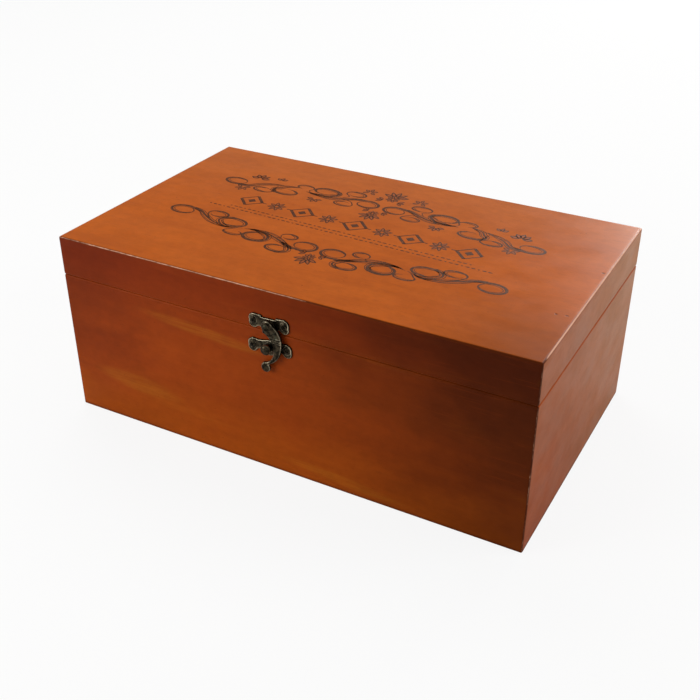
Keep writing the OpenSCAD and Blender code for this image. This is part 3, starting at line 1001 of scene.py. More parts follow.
@dataclass
class Lid:
    """The lid: four mitred rails under a flat top panel."""

    sizes: BoxSizes
    rail_top: float = node_box("lid_top_panel")[0, 2]
    top: float = node_box("lid_top_panel")[1, 2] - 0.05
    top_r: float = 1.4
    shift: float = 1250.0
    # Along the front, the pale rubbed line of the top arris, partly a painted highlight, gives way
    # to a dark line of painted shade between these two places.
    dark_line_x: Vec2 = (0.0, 50.0)
    # Distances behind the front face, and from the right one.
    dark_line_y: Vec2 = (4.0, 8.0)
    right_x: Vec2 = (-3.0, -1.0)

    def build(self, wood: Material) -> None:
        """Makes the five boards of the lid.

        Args:
            wood: Their material.
        """
        sizes, fade = self.sizes, self.top_r + self.sizes.fade
        low = sizes.seam_z + sizes.seam_half
        profile = board_profile(sizes, low, self.rail_top, sizes.seam_r, 0.0, 2)
        add_walls(sizes, profile, Body.LID, "lid_{}_rail", wood)
        rings = glued_rings(sizes, self.rail_top) + [(0.0, self.top - fade, 0.0, 0.0, 0.0)]
        rings += [(d, z, max(rub, 0.0) ** 1.5, run, 0.0)
                  for d, z, rub, run in round_arris(self.top_r, self.top - self.top_r, 180, 8)]
        rings.append((fade, self.top, 0.0, 1.0, 0.0))
        shell = soft_slab(sizes, rings, self.shift)
        x, y = shell.points[:, 0], shell.points[:, 1]
        dark_line = rise(x, *self.dark_line_x) * (1 - rise(y + sizes.half_w, *self.dark_line_y))
        # The right arris is rubbed more, which paints a brighter highlight along it, and a wider
        # dark line of painted shade takes the place of the pale one along the front.
        arris = shell.marks["arris"] * (1 + 0.5 * rise(x - sizes.half_l, *self.right_x))
        shell.marks["arris"] = arris * (1 - dark_line) + dark_line * 0.6 * np.cbrt(np.clip(arris, 0, 1))
        make_piece("stained_lid_top", shell, Body.LID, wood, "lid_top_panel")


# ---------------------------------------------------------------- lid print


@dataclass(frozen=True)
class Volute:
    """One stroke of the ornament: an oval spiral that may run out into a stem.

    Places are in millimetres from the middle of the band, for its right half; the left half mirrors
    it. The spiral turns from its eye outwards by so many turns and ends at the angle given.
    """

    u: float
    v: float
    rx: float
    ry: float
    end_deg: float
    turns: float
    stem: tuple[Vec2, ...] = ()
    width: float = 2.0
    eye: float = 0.76


@dataclass(frozen=True)
class Spray:
    """A fan of pointed leaves round a point."""

    u: float
    v: float
    leaves: int
    length: float
    width: float
    start_deg: float = 0.0
    sweep_deg: float = 360.0


def smooth_path(knots: np.ndarray, per_span: int) -> np.ndarray:
    """Catmull-Rom curve through knots.

    Each span is the cubic 0.5 (2 p1 + (p2 - p0) t + (2 p0 - 5 p1 + 4 p2 - p3) t^2
    + (3 p1 - p0 - 3 p2 + p3) t^3), with the ends doubled.

    Args:
        knots: The points that it passes.
        per_span: Steps between two knots.

    Returns:
        Points along the curve.
    """
    full = np.concatenate([knots[:1], knots, knots[-1:]])
    p0, p1, p2, p3 = (full[i:len(full) - 3 + i, None, :] for i in range(4))
    t = np.linspace(0, 1, per_span, endpoint=False)[None, :, None]
    curve = 0.5 * (2 * p1 + (p2 - p0) * t + (2 * p0 - 5 * p1 + 4 * p2 - p3) * t ** 2
                   + (3 * p1 - p0 - 3 * p2 + p3) * t ** 3)
    return np.concatenate([curve.reshape(-1, 2), knots[-1:]])


def left_of(path: np.ndarray) -> np.ndarray:
    """Unit normals to the left of a path, its direction turned by a quarter turn.

    Args:
        path: Points along the path.

    Returns:
        The normal at each point.
    """
    way = np.gradient(path, axis=0)
    way /= np.maximum(np.linalg.norm(way, axis=1, keepdims=True), 1e-9)
    return np.stack([-way[:, 1], way[:, 0]], -1)


def ribbon(path: np.ndarray, half_width: np.ndarray, z0: float, z1: float,
           fade: float = 0.0) -> Shell:
    """A thin flat strip along a path.

    Each cross-section is a box of the path's point plus and minus its left normal times the half
    width, between two heights. The ends are closed by a face each.

    Args:
        path: Points along the middle.
        half_width: Half the width at each point.
        z0: Height of the underside.
        z1: Height of the upper side.
        fade: How far its ink is the thin fill.

    Returns:
        The strip.
    """
    out = left_of(path) * half_width[:, None]
    corners = ((1, z0), (1, z1), (-1, z1), (-1, z0))
    ring = np.stack([np.column_stack([path + side * out, np.full(len(path), z)])
                     for side, z in corners], 1)
    last = (len(path) - 1) * 4
    faces = grid_faces(len(path), 4, True) + [[0, 1, 2, 3], [last + 3, last + 2, last + 1, last]]
    return Shell(ring.reshape(-1, 3), faces, {"fade": np.full(4 * len(path), fade)})


@dataclass
class LidPrint:
    """Printed ornament: two bands of scrollwork with a plain row of lozenges between them."""

    centre: Vec2 = (-4.0, 8.0)
    tilt_deg: float = -2.4
    z0: float = node_box("lid_top_panel")[1, 2] - 0.045
    z1: float = node_box("lid_top_panel")[1, 2] - 0.025
    # How much higher the thin ink lies, and its share of a leaf's width.
    lift: float = 0.012
    fill_width: float = 0.45
    back_v: float = 41.5
    front_v: float = -44.5
    row_v: float = 2.0
    # Height above the band's middle, length of the leaves and direction of each centre flower.
    back_flowers: tuple[Vec3, ...] = ((20.0, 11.0, 90.0), (-17.0, 9.5, -90.0))
    front_flowers: tuple[Vec3, ...] = ((-16.0, 9.5, -90.0),)
    # Hairlines beside a stroke: offset at the middle, and the shares of the stroke where they run.
    hairs: tuple[Vec3, ...] = (
        (1.1, 0.10, 0.60), (1.2, 0.52, 0.97), (-1.2, 0.50, 0.95), (2.3, 0.56, 0.92),
    )
    hair_half: float = 0.3
    # Strokes narrower than this have the first hairline only.
    thin_stroke: float = 2.1
    lozenge_half: Vec2 = (9.5, 9.0)
    rosette: tuple[int, float, float, float] = (8, 7.4, 3.0, 22.5)
    # Beaded rules: place, number of beads and half length.
    rules: tuple[tuple[float, int, float], ...] = ((-12.8, 49, 98.0), (-17.0, 57, 114.0))
    long_bead: float = 1.7
    short_bead: float = 0.8
    bead_half: float = 0.62
    back_band: tuple[Volute, ...] = (
        Volute(11.8, -1.7, 9.4, 6.3, 70, -0.95,
               ((21.8, 3.3), (32.8, -1.3), (44.7, -4.8), (64.5, -4.0)), 2.6),
        Volute(27.8, 10.7, 8.5, 4.8, -50, -1.04, ((31.3, 4.4), (35.1, -0.2)), 1.8),
        Volute(28.7, -9.1, 7.9, 4.2, -200, -0.93, ((26.0, -3.0), (34.7, -2.0)), 1.6),
        Volute(50.7, 3.6, 11.5, 6.2, 225, 0.86, ((46.5, -3.6), (55.5, -4.9), (64.5, -3.6)), 3.0),
        Volute(69.6, 3.1, 7.7, 4.2, 215, 0.84, ((63.0, -1.9), (58.4, -4.2)), 1.7),
        Volute(78.3, -11.5, 11.3, 5.8, 45, 0.90, ((83.4, -3.2), (77.0, -0.7), (72.0, 0.6)), 2.4),
        Volute(96, -16.7, 8.6, 4.4, -200, -0.97, ((88.6, -10.1), (89.6, -4.7)), 1.8),
        Volute(123.4, -11.9, 10.2, 6, 235, -0.93,
               ((109.5, -16.0), (102.6, -9.8), (93.3, -4.6), (83.0, -1.6)), 2.6),
    )
    front_band: tuple[Volute, ...] = (
        Volute(11.8, -0.9, 9.8, 7, 290, 0.97,
               ((19.6, -7.6), (32.0, -1.8), (43.5, 2.6), (55.2, 3.8), (65, 1.9)), 2.6),
        Volute(28.9, 6.3, 6.6, 4.4, -40, -1.02, ((36.9, 0.2),), 1.8),
        Volute(27.4, -12.8, 9.2, 5.4, -200, -0.95, ((23.2, -6.0), (32.0, -2.6)), 2.2),
        Volute(51, -4.6, 10.2, 7.2, -235, -0.99, ((48.0, 2.6), (55.4, 3.9), (62.4, 3.0)), 3.2),
        Volute(68.2, -7, 8.1, 4, 40, 0.81, ((70.0, 0.4), (66.0, 2.0)), 1.8),
        Volute(78.1, 6.6, 11.8, 6.8, -40, -1.07, ((83.0, -0.6), (76.0, -1.6), (69.6, 1.6)), 2.4),
        Volute(95.7, 13.1, 8.6, 5, -30, -1.04, ((101.0, 7.2), (94.0, 1.8)), 2.0),
        Volute(123.8, 7.4, 10.4, 6.8, 110, 1.00,
               ((110.7, 11.6), (103.7, 7.1), (93.1, 1.3), (80.6, -2.3), (72, -0.1)), 2.6),
    )
    back_sprays: tuple[Spray, ...] = (
        Spray(21.6, 20.3, 5, 6.2, 3.0, -30, 240), Spray(51.4, -12.6, 5, 6.4, 3.0, 180, 180),
        Spray(110.6, 0.0, 5, 8.6, 4.2, 10, 160), Spray(93.8, 4.6, 3, 6.0, 3.2, 40, 100),
        Spray(112.1, -21.0, 5, 6.4, 3.0, 160, 220),
    )

    def place(self, flat: np.ndarray) -> np.ndarray:
        """Turns a drawing about the ornament's middle and moves it onto the lid.

        Args:
            flat: Points as drawn.

        Returns:
            Points in the frame.
        """
        a = math.radians(self.tilt_deg)
        spin = np.array([[math.cos(a), math.sin(a)], [-math.sin(a), math.cos(a)]])
        moved = flat.copy()
        moved[:, :2] = flat[:, :2] @ spin + np.array(self.centre)
        return moved

    def volute(self, stroke: Volute, v0: float) -> list[Shell]:
        """Draws a stroke and its mirror image.

        The spiral is (rx, ry) g(t) (cos a, sin a), with g growing from the eye's share to 1, and a
        running to its end angle. The stroke swells to its width past its middle and tapers along
        the stem, and hairlines bow away from it on both sides by their offset times a half sine.

        Args:
            stroke: The stroke.
            v0: Height of the band's middle line.

        Returns:
            The strips of both halves.
        """
        t = np.linspace(0, 1, 40)
        angle = math.radians(stroke.end_deg) - 2 * math.pi * stroke.turns * (1 - t)
        grow = stroke.eye + (1 - stroke.eye) * np.sin(t * math.pi / 2) ** 0.9
        path = np.stack([stroke.u + stroke.rx * grow * np.cos(angle),
                         stroke.v + stroke.ry * grow * np.sin(angle)], -1)
        if stroke.stem:
            tail = smooth_path(np.concatenate([path[[-5, -1]], np.array(stroke.stem)]), 10)
            path = np.concatenate([path[:-1], tail[10:]])
        step = np.concatenate([[0], np.cumsum(np.linalg.norm(np.diff(path, axis=0), axis=1))])
        s = step / step[-1]
        half = stroke.width / 2 * (0.3 + 0.6 * np.sin(math.pi * s ** 0.85) ** 1.6)
        half[:6] *= np.linspace(0.4, 1, 6)
        half[-6:] *= np.linspace(1, 0.3, 6)
        lines = [(path, half)]
        side = left_of(path) * math.copysign(1, stroke.turns)
        hairs = self.hairs if stroke.width > self.thin_stroke else self.hairs[:1]
        for offset, first, last in hairs:
            held = (s > first) & (s < last)
            open_up = np.sin(math.pi * np.clip((s - first) / (last - first), 0, 1))
            hair = (path + side * (np.sign(offset) * half + offset * open_up)[:, None])[held]
            lines.append((hair, np.full(len(hair), self.hair_half)))
        return [ribbon(line * np.array([sign, 1]) + np.array([0, v0]), width, self.z0, self.z1)
                for sign in (1, -1) for line, width in lines]

    def spray(self, spray: Spray, v0: float, mirrored: bool = True) -> list[Shell]:
        """Draws a fan of leaves whose half width is w sin(pi s)^0.8 along each leaf.

        A smaller leaf of thin ink lies on each, so that the dark one shows as its outline.

        Args:
            spray: The fan.
            v0: Height of the band's middle line.
            mirrored: Whether its mirror image is drawn too.

        Returns:
            Two strips for each leaf.
        """
        s = np.linspace(0, 1, 9)
        half = spray.width / 2 * np.maximum(np.sin(math.pi * s), 0.05) ** 0.8
        closed = spray.sweep_deg >= 360
        turns = np.linspace(0, spray.sweep_deg, spray.leaves, not closed)
        shells = []
        for sign in (1, -1) if mirrored else (1,):
            for a in np.radians(spray.start_deg + turns):
                for inner, low, high, fade in ((0.0, 1.0, 0.0, 0.0), (0.16, 0.80, self.lift, 1.0)):
                    reach = spray.length * (0.14 + inner + (0.86 * low - inner) * s)
                    leaf = np.stack([sign * (spray.u + reach * math.cos(a)),
                                     v0 + spray.v + reach * math.sin(a)], -1)
                    wide = half * (self.fill_width if fade else 1.0)
                    shells.append(ribbon(leaf, wide, self.z0, self.z1 + high, fade))
        return shells

    def blossom(self, v: float, size: float, up: float) -> list[Shell]:
        """Draws a centre flower: a fan of broad leaves over a ring of petals, with two side leaves.

        Args:
            v: Height of its middle.
            size: Length of its leaves.
            up: 90 where the fan opens upwards and -90 where it opens downwards.

        Returns:
            Its strips.
        """
        tip = math.copysign(1, up)
        middle = (Spray(0, 0, 5, size, size * 0.36, up - 72, 144),
                  Spray(0, -tip * size * 0.30, 8, size * 0.52, size * 0.26, 22.5))
        side = Spray(size * 0.5, -tip * size * 0.7, 3, size * 0.6, size * 0.26, -35, 70)
        return [s for fan in middle for s in self.spray(fan, v, False)] + self.spray(side, v)

    def dash(self, u: float, v: float, reach: float, half: np.ndarray) -> Shell:
        """Draws a straight strip along the band.

        Args:
            u: Place of its middle along the band.
            v: Height of its middle.
            reach: Half its length.
            half: Half its width, at points spaced evenly along it.

        Returns:
            The strip.
        """
        line = np.stack([u + reach * np.linspace(-1, 1, len(half)), np.full(len(half), v)], -1)
        return ribbon(line, half, self.z0, self.z1)

    def lozenge(self, u: float) -> list[Shell]:
        """Draws a lozenge with two thick and two thin strokes round a solid one a third its size.

        Args:
            u: Place along the row.

        Returns:
            Its strips.
        """
        wide, tall = self.lozenge_half
        t = np.linspace(0, 1, 7)[:, None]
        corners = np.array([[-wide, 0], [0, tall], [wide, 0], [0, -tall], [-wide, 0]])
        corners += [u, self.row_v]
        shells = [ribbon(corners[k] * (1 - t) + corners[k + 1] * t, np.full(len(t), half), self.z0,
                         self.z1) for k, half in enumerate((0.55, 1.15, 0.55, 1.15))]
        core = 1.04 - np.abs(np.linspace(-1, 1, 5))
        return shells + [self.dash(u, self.row_v, wide * 0.36, tall * 0.36 * core)]

    def divider(self) -> list[Shell]:
        """Draws the row of lozenges and rosettes between the bands, and two beaded rules under it.

        A bead's half width is that of an ellipse, and every third one is short.

        Returns:
            Its strips.
        """
        shells = [s for u in np.linspace(-90, 90, 5) for s in self.lozenge(u)]
        for u in np.linspace(-67.5, 67.5, 4):
            shells += self.spray(Spray(u, self.row_v, *self.rosette), 0, False)
        for u in np.linspace(-78.75, 78.75, 8):
            shells.append(self.dash(u, self.row_v, 2.1, np.full(5, 0.5)))
        bead = self.bead_half * np.sqrt(1.04 - np.linspace(-1, 1, 5) ** 2)
        for v, count, reach in self.rules:
            for i, u in enumerate(np.linspace(-reach, reach, count)):
                shells.append(self.dash(u, v, self.long_bead if i % 3 else self.short_bead, bead))
        return shells

    def band(self, strokes: tuple[Volute, ...], sprays: tuple[Spray, ...],
             flowers: tuple[Vec3, ...], v0: float) -> list[Shell]:
        """Draws one band of scrollwork.

        Args:
            strokes: Its strokes.
            sprays: Its fans of leaves.
            flowers: Height above the middle line, size and direction of its centre flowers.
            v0: Height of its middle line.

        Returns:
            Its strips.
        """
        shells = [s for stroke in strokes for s in self.volute(stroke, v0)]
        shells += [s for fan in sprays for s in self.spray(fan, v0)]
        return shells + [s for v, size, up in flowers for s in self.blossom(v0 + v, size, up)]

    def build(self, ink: Material) -> None:
        """Makes the print as three pieces.

        Args:
            ink: Its material.
        """
        back = self.band(self.back_band, self.back_sprays, self.back_flowers, self.back_v)
        front = self.band(self.front_band, (), self.front_flowers, self.front_v)
        groups = {"print_back_scrolls": back, "print_front_scrolls": front,
                  "print_lozenge_row": self.divider()}
        for name, shells in groups.items():
            make_piece(name, joined(shells).moved(self.place), Body.LID, ink)


# ---------------------------------------------------------------- latch and hinges

# Distance of the front and back faces from the middle of the box.
WALL_Y = node_box("lid_top_panel")[1, 1]
# Places at which an outline is sampled across; twice as many are tried along it.
SAMPLES = 700
# Where the hook turns, and the height of the post.
HOOK_PIVOT = pivot_of("hook_swing")
POST_Z = node_box("catch_post")[:, 2].mean()


def disc(x: np.ndarray, y: np.ndarray, cx: float, cy: float, r: float) -> np.ndarray:
    """Distance to a circle: |p - c| - r, negative inside."""
    return np.hypot(x - cx, y - cy) - r


def bar(x: np.ndarray, y: np.ndarray, x0: float, x1: float, y0: float, y1: float) -> np.ndarray:
    """Distance to a rectangle: |max(q, 0)| + min(max(q), 0), with q the overshoot on each axis."""
    qx = np.abs(x - (x0 + x1) / 2) - (x1 - x0) / 2
    qy = np.abs(y - (y0 + y1) / 2) - (y1 - y0) / 2
    return np.hypot(np.maximum(qx, 0), np.maximum(qy, 0)) + np.minimum(np.maximum(qx, qy), 0)


def blend(a: np.ndarray, b: np.ndarray, k: float) -> np.ndarray:
    """Smooth union of two distances: min(a, b) - h^2 / 4k, with h = max(k - |a - b|, 0)."""
    h = np.maximum(k - np.abs(a - b), 0)
    return np.minimum(a, b) - h * h / (4 * k)


def cut(a: np.ndarray, b: np.ndarray, k: float) -> np.ndarray:
    """Smooth difference of two distances: the smooth union of -a and b, turned inside out."""
    return -blend(-a, b, k)


def loft_plate(shape: Outline, relief: Relief, foot: float, span: Vec2, reach: Vec2, cols: int,
               rows: int) -> Shell:
    """Makes a cast plate from the distance to its outline and a relief over it.

    Columns lie at x = m - h cos(pi k / K), closer at the ends. Each runs between the two places
    where the distance is 0, at y = y0 + (y1 - y0)(1 - cos(pi j / J)) / 2. The relief gives the
    height there, and a wall goes down to the foot along the outline.

    Args:
        shape: Signed distance to the outline at x and y, negative inside.
        relief: Height and edge brightness at x, y and distance inside the outline.
        foot: Height of the flat underside.
        span: Lowest and highest x that may hold the plate.
        reach: Lowest and highest y that may hold it.
        cols: Number of columns.
        rows: Number of points across each.

    Returns:
        The plate, its outside towards +Z.
    """
    ys = np.linspace(*reach, SAMPLES)

    def crossing(x: np.ndarray) -> tuple[np.ndarray, np.ndarray, np.ndarray]:
        """Returns the lowest and highest y inside at each x, and the least distance there."""
        d = shape(x[:, None], ys[None, :])
        inside = d < 0
        first = np.argmax(inside, 1)
        last = len(ys) - 1 - np.argmax(inside[:, ::-1], 1)

        def zero(a: np.ndarray, b: np.ndarray) -> np.ndarray:
            """Returns where a straight line between two samples of the distance passes 0."""
            da, db = d[np.arange(len(x)), a], d[np.arange(len(x)), b]
            return ys[a] + np.clip(da / np.where(da == db, 1, da - db), 0, 1) * (ys[b] - ys[a])

        low = zero(np.maximum(first - 1, 0), first)
        high = zero(last, np.minimum(last + 1, len(ys) - 1))
        middle = ys[np.argmin(d, 1)]
        empty = ~inside.any(1)
        return np.where(empty, middle, low), np.where(empty, middle, high), d.min(1)

    xs = np.linspace(*span, 2 * SAMPLES)
    held = crossing(xs)[2] < 0
    x_low, x_high = xs[held][0], xs[held][-1]
    k = np.linspace(0, 1, cols)
    x = (x_low + x_high) / 2 - (x_high - x_low) / 2 * np.cos(math.pi * k)
    y_low, y_high, _ = crossing(x)
    middle = (y_low + y_high) / 2
    y_low[[0, -1]] = y_high[[0, -1]] = middle[[0, -1]]
    j = (1 - np.cos(math.pi * np.linspace(0, 1, rows))) / 2
    gx = np.repeat(x[:, None], rows, 1)
    gy = y_low[:, None] + (y_high - y_low)[:, None] * j
    inside = np.maximum(-shape(gx, gy), 0)
    inside[:, [0, -1]] = 0
    inside[[0, -1], :] = 0
    gz, edge = relief(gx, gy, inside)
    ring = np.stack([gx, gy, gz], -1)
    low = np.stack([x, y_low, np.full(cols, foot)], -1)[:, None]
    high = np.stack([x, y_high, np.full(cols, foot)], -1)[:, None]
    ring = np.concatenate([low, ring, high], 1)
    edge = np.pad(edge, ((0, 0), (1, 1)))
    return Shell(ring.reshape(-1, 3), grid_faces(cols, rows + 2, True), {"edge": edge.ravel()})


def turned(r: np.ndarray, z: np.ndarray, edge: np.ndarray, around: int = 48) -> Shell:
    """Turns a profile about Z: (r cos a, r sin a, z), with closed poles.

    Args:
        r: Radii, 0 at both ends.
        z: Heights.
        edge: Edge brightness.
        around: Number of steps round.

    Returns:
        The turned shell.
    """
    a = np.linspace(0, 2 * math.pi, around, endpoint=False)
    points = np.stack([r[:, None] * np.cos(a), r[:, None] * np.sin(a),
                       np.repeat(z[:, None], around, 1)], -1)
    return Shell(points.reshape(-1, 3), grid_faces(len(r), around, True),
                 {"edge": np.repeat(edge, around)})


def dome(r: float, high: float, z: float, steps: int) -> np.ndarray:
    """Profile of a domed head: half an ellipse (r cos a, z + high sin a) from its rim to its pole.

    Args:
        r: Radius of the rim.
        high: Height over the rim.
        z: Height of the rim.
        steps: Number of steps.

    Returns:
        Radius, height and sin a, one point in each row.
    """
    quarter = arc(0, 0, 1, 0, 90, steps)
    quarter[-1, 0] = 0
    return np.column_stack([r * quarter[:, 0], z + high * quarter[:, 1], quarter[:, 1]])


@dataclass(frozen=True)
class ScrewHead:
    """A countersunk head with a crown and a cross recess."""

    radius: float = 2.3
    crown: float = 0.5
    cone: float = 1.2
    slot_w: float = 0.62
    slot_l: float = 2.7
    slot_deep: float = 0.75
    rim_edge: float = 0.45

    def shell(self, turn_deg: float) -> Shell:
        """Builds the head on the plane z = 0, its outside towards +Z.

        The height is crown (1 - (r / R)^2), less the recess, whose depth falls off over a short
        flank on both sides of each slot.

        Args:
            turn_deg: How far the drive is turned.

        Returns:
            The head with its cone below the plate.
        """
        share = np.concatenate([np.linspace(0, 0.8, 25), np.linspace(0.84, 1, 8)])
        a = np.linspace(0, 2 * math.pi, 72, endpoint=False)
        x = self.radius * share[:, None] * np.cos(a)
        y = self.radius * share[:, None] * np.sin(a)
        t = math.radians(turn_deg)
        u, v = x * math.cos(t) + y * math.sin(t), -x * math.sin(t) + y * math.cos(t)

        def slot_at(p: np.ndarray, q: np.ndarray) -> np.ndarray:
            """Returns the share of full depth of a slot that lies along p."""
            flank_w, flank_l = self.slot_w / 2 + 0.1, self.slot_l / 2 + 0.1
            return (1 - rise(np.abs(q), flank_w - 0.2, flank_w)) * (
                1 - rise(np.abs(p), flank_l - 0.45, flank_l))

        depth = np.maximum(slot_at(u, v), slot_at(v, u))
        z = self.crown * (1 - share[:, None] ** 2) - self.slot_deep * depth
        edge = np.clip(self.rim_edge * rise(share[:, None], 0.82, 1) - depth, 0, 1)
        top = np.stack([x, y, z], -1)
        below = [np.stack([x[-1] * k, y[-1] * k, np.full_like(x[-1], -self.cone)], -1)[None]
                 for k in (0.5, 0.0)]
        points = np.concatenate([top, *below])
        edge = np.concatenate([edge, np.zeros((2, len(a)))])
        return Shell(points.reshape(-1, 3), grid_faces(len(points), len(a), True),
                     {"edge": edge.ravel()})


def on_wall(facing: Facing, x: float, z: float, out: float = 0.0, turn_deg: float = 0.0) -> Move:
    """Returns the map that puts a drawing on the front or back wall.

    The drawing's X stays across as seen from in front of the box, its Y becomes up and its Z
    outwards.

    Args:
        facing: Which wall.
        x: Place along the wall.
        z: Height.
        out: Distance from the wall.
        turn_deg: How far the drawing is turned about its Z first.

    Returns:
        A function on point arrays.
    """

    def place(points: np.ndarray) -> np.ndarray:
        """Maps drawing coordinates to the frame."""
        a = math.radians(turn_deg)
        across = points[:, 0] * math.cos(a) - points[:, 1] * math.sin(a)
        up = points[:, 0] * math.sin(a) + points[:, 1] * math.cos(a)
        return np.stack([x + across, facing.value * (WALL_Y + out + points[:, 2]), z + up], -1)

    return place


@dataclass(frozen=True)
class LatchPlate:
    """A cast plate: a bar with an ear and a screw at each end, a lobe, and a boss on the lobe.

    Places are in millimetres from the middle of the boss.
    """

    node: str
    screws_node: str
    body: Body
    centre_z: float
    tilt_deg: float
    screw: Vec2
    # Heights of the ear's two circles and of the bar's two edges.
    ear_y: Vec2
    bar_y: Vec2
    lobe_y: float
    lobe_r: float
    # The notch is cut into the upper edge of the plate.
    notch: Outline
    boss_r: float
    boss_top: float
    # Fillets at the ear, the lobe and the notch.
    fillets: Vec3
    span: Vec2
    reach: Vec2
    ear_r: float = 3.5
    ear_fillet: float = 0.6
    thick: float = 1.2
    # The rim's width, the outer wall's share of the thickness, and the field sunk inside the rim.
    rim_w: float = 0.55
    wall_share: float = 0.55
    field_deep: float = 0.26
    field_in: Vec2 = (0.75, 1.25)
    # Radius of the raised ring round a screw, and of the seat under its head.
    ring_r: float = 2.9
    ring_fade: Vec2 = (0.25, 0.6)
    seat_r: float = 2.45
    seat_deep: float = 0.3
    turns_deg: Vec2 = (25.0, 62.0)
    columns: int = 230
    rows: int = 70

    def outline(self, x: np.ndarray, y: np.ndarray) -> np.ndarray:
        """Distance to the outline: ears, bar and lobe smoothly joined, less the notch.

        Args:
            x: Coordinate across.
            y: Coordinate up.

        Returns:
            The distance.
        """
        sx, (at, _) = np.abs(x), self.screw
        ear = blend(*(disc(sx, y, at, up, self.ear_r) for up in self.ear_y), self.ear_fillet)
        body = blend(bar(sx, y, -at, at, *self.bar_y), ear, self.fillets[0])
        body = blend(body, disc(x, y, 0, self.lobe_y, self.lobe_r), self.fillets[1])
        return cut(body, self.notch(sx, y), self.fillets[2])

    def relief(self, x: np.ndarray, y: np.ndarray, inside: np.ndarray
               ) -> tuple[np.ndarray, np.ndarray]:
        """Relief of the plate.

        The rim rises from a low wall as 1 - (1 - s)^2, a shallow field lies inside it, a ring of
        metal stands round each screw, and the boss stands in the middle. The edges of all of them
        are bright.

        Args:
            x: Coordinate across.
            y: Coordinate up.
            inside: Distance inside the outline.

        Returns:
            Height and edge brightness.
        """
        t, low = self.thick, self.wall_share
        rim = 1 - (1 - np.clip(inside / self.rim_w, 0, 1)) ** 2
        sunk = self.field_deep * rise(inside, *self.field_in)
        at, out = np.hypot(np.abs(x) - self.screw[0], y - self.screw[1]), np.hypot(x, y)
        ring = 1 - rise(np.abs(at - self.ring_r), *self.ring_fade)
        boss = 1 - rise(out, self.boss_r - 0.25, self.boss_r + 0.15)
        z = low * t + (1 - low) * t * rim - sunk * (1 - ring) * (1 - boss)
        z = np.where(at < self.seat_r, np.minimum(z, t - self.seat_deep), z)
        z = z + boss * (self.boss_top - z)
        edge = 0.72 * (1 - rise(np.abs(inside - 0.42), 0.08, 0.4)) + 0.48 * ring * (at < 3.3)
        edge = np.maximum(edge, 0.6 * (1 - rise(np.abs(out - self.boss_r + 0.3), 0.1, 0.4)))
        return z, np.clip(edge, 0, 1)

    def place(self) -> Move:
        """Returns the map that puts the plate on the front."""
        return on_wall(Facing.FRONT, HOOK_PIVOT[0], self.centre_z, turn_deg=self.tilt_deg)

    def build(self, bronze: Material) -> None:
        """Makes the plate.

        Args:
            bronze: Its material.
        """
        plate = loft_plate(self.outline, self.relief, 0.0, self.span, self.reach, self.columns,
                           self.rows)
        make_piece(f"cast_{self.node}", plate.moved(self.place()), self.body, bronze,
                   self.node)

    def build_screws(self, head: ScrewHead, bronze: Material) -> None:
        """Makes the plate's two screws, each turned its own way.

        Args:
            head: A screw's head.
            bronze: Their material.
        """
        heads = [head.shell(turn).moved(
            lambda p, side=side: p + np.array([side * self.screw[0], self.screw[1], self.thick]))
            for side, turn in zip((-1, 1), self.turns_deg)]
        make_piece(f"{self.node}_screws", joined(heads).moved(self.place()), self.body,
                   bronze, self.screws_node)


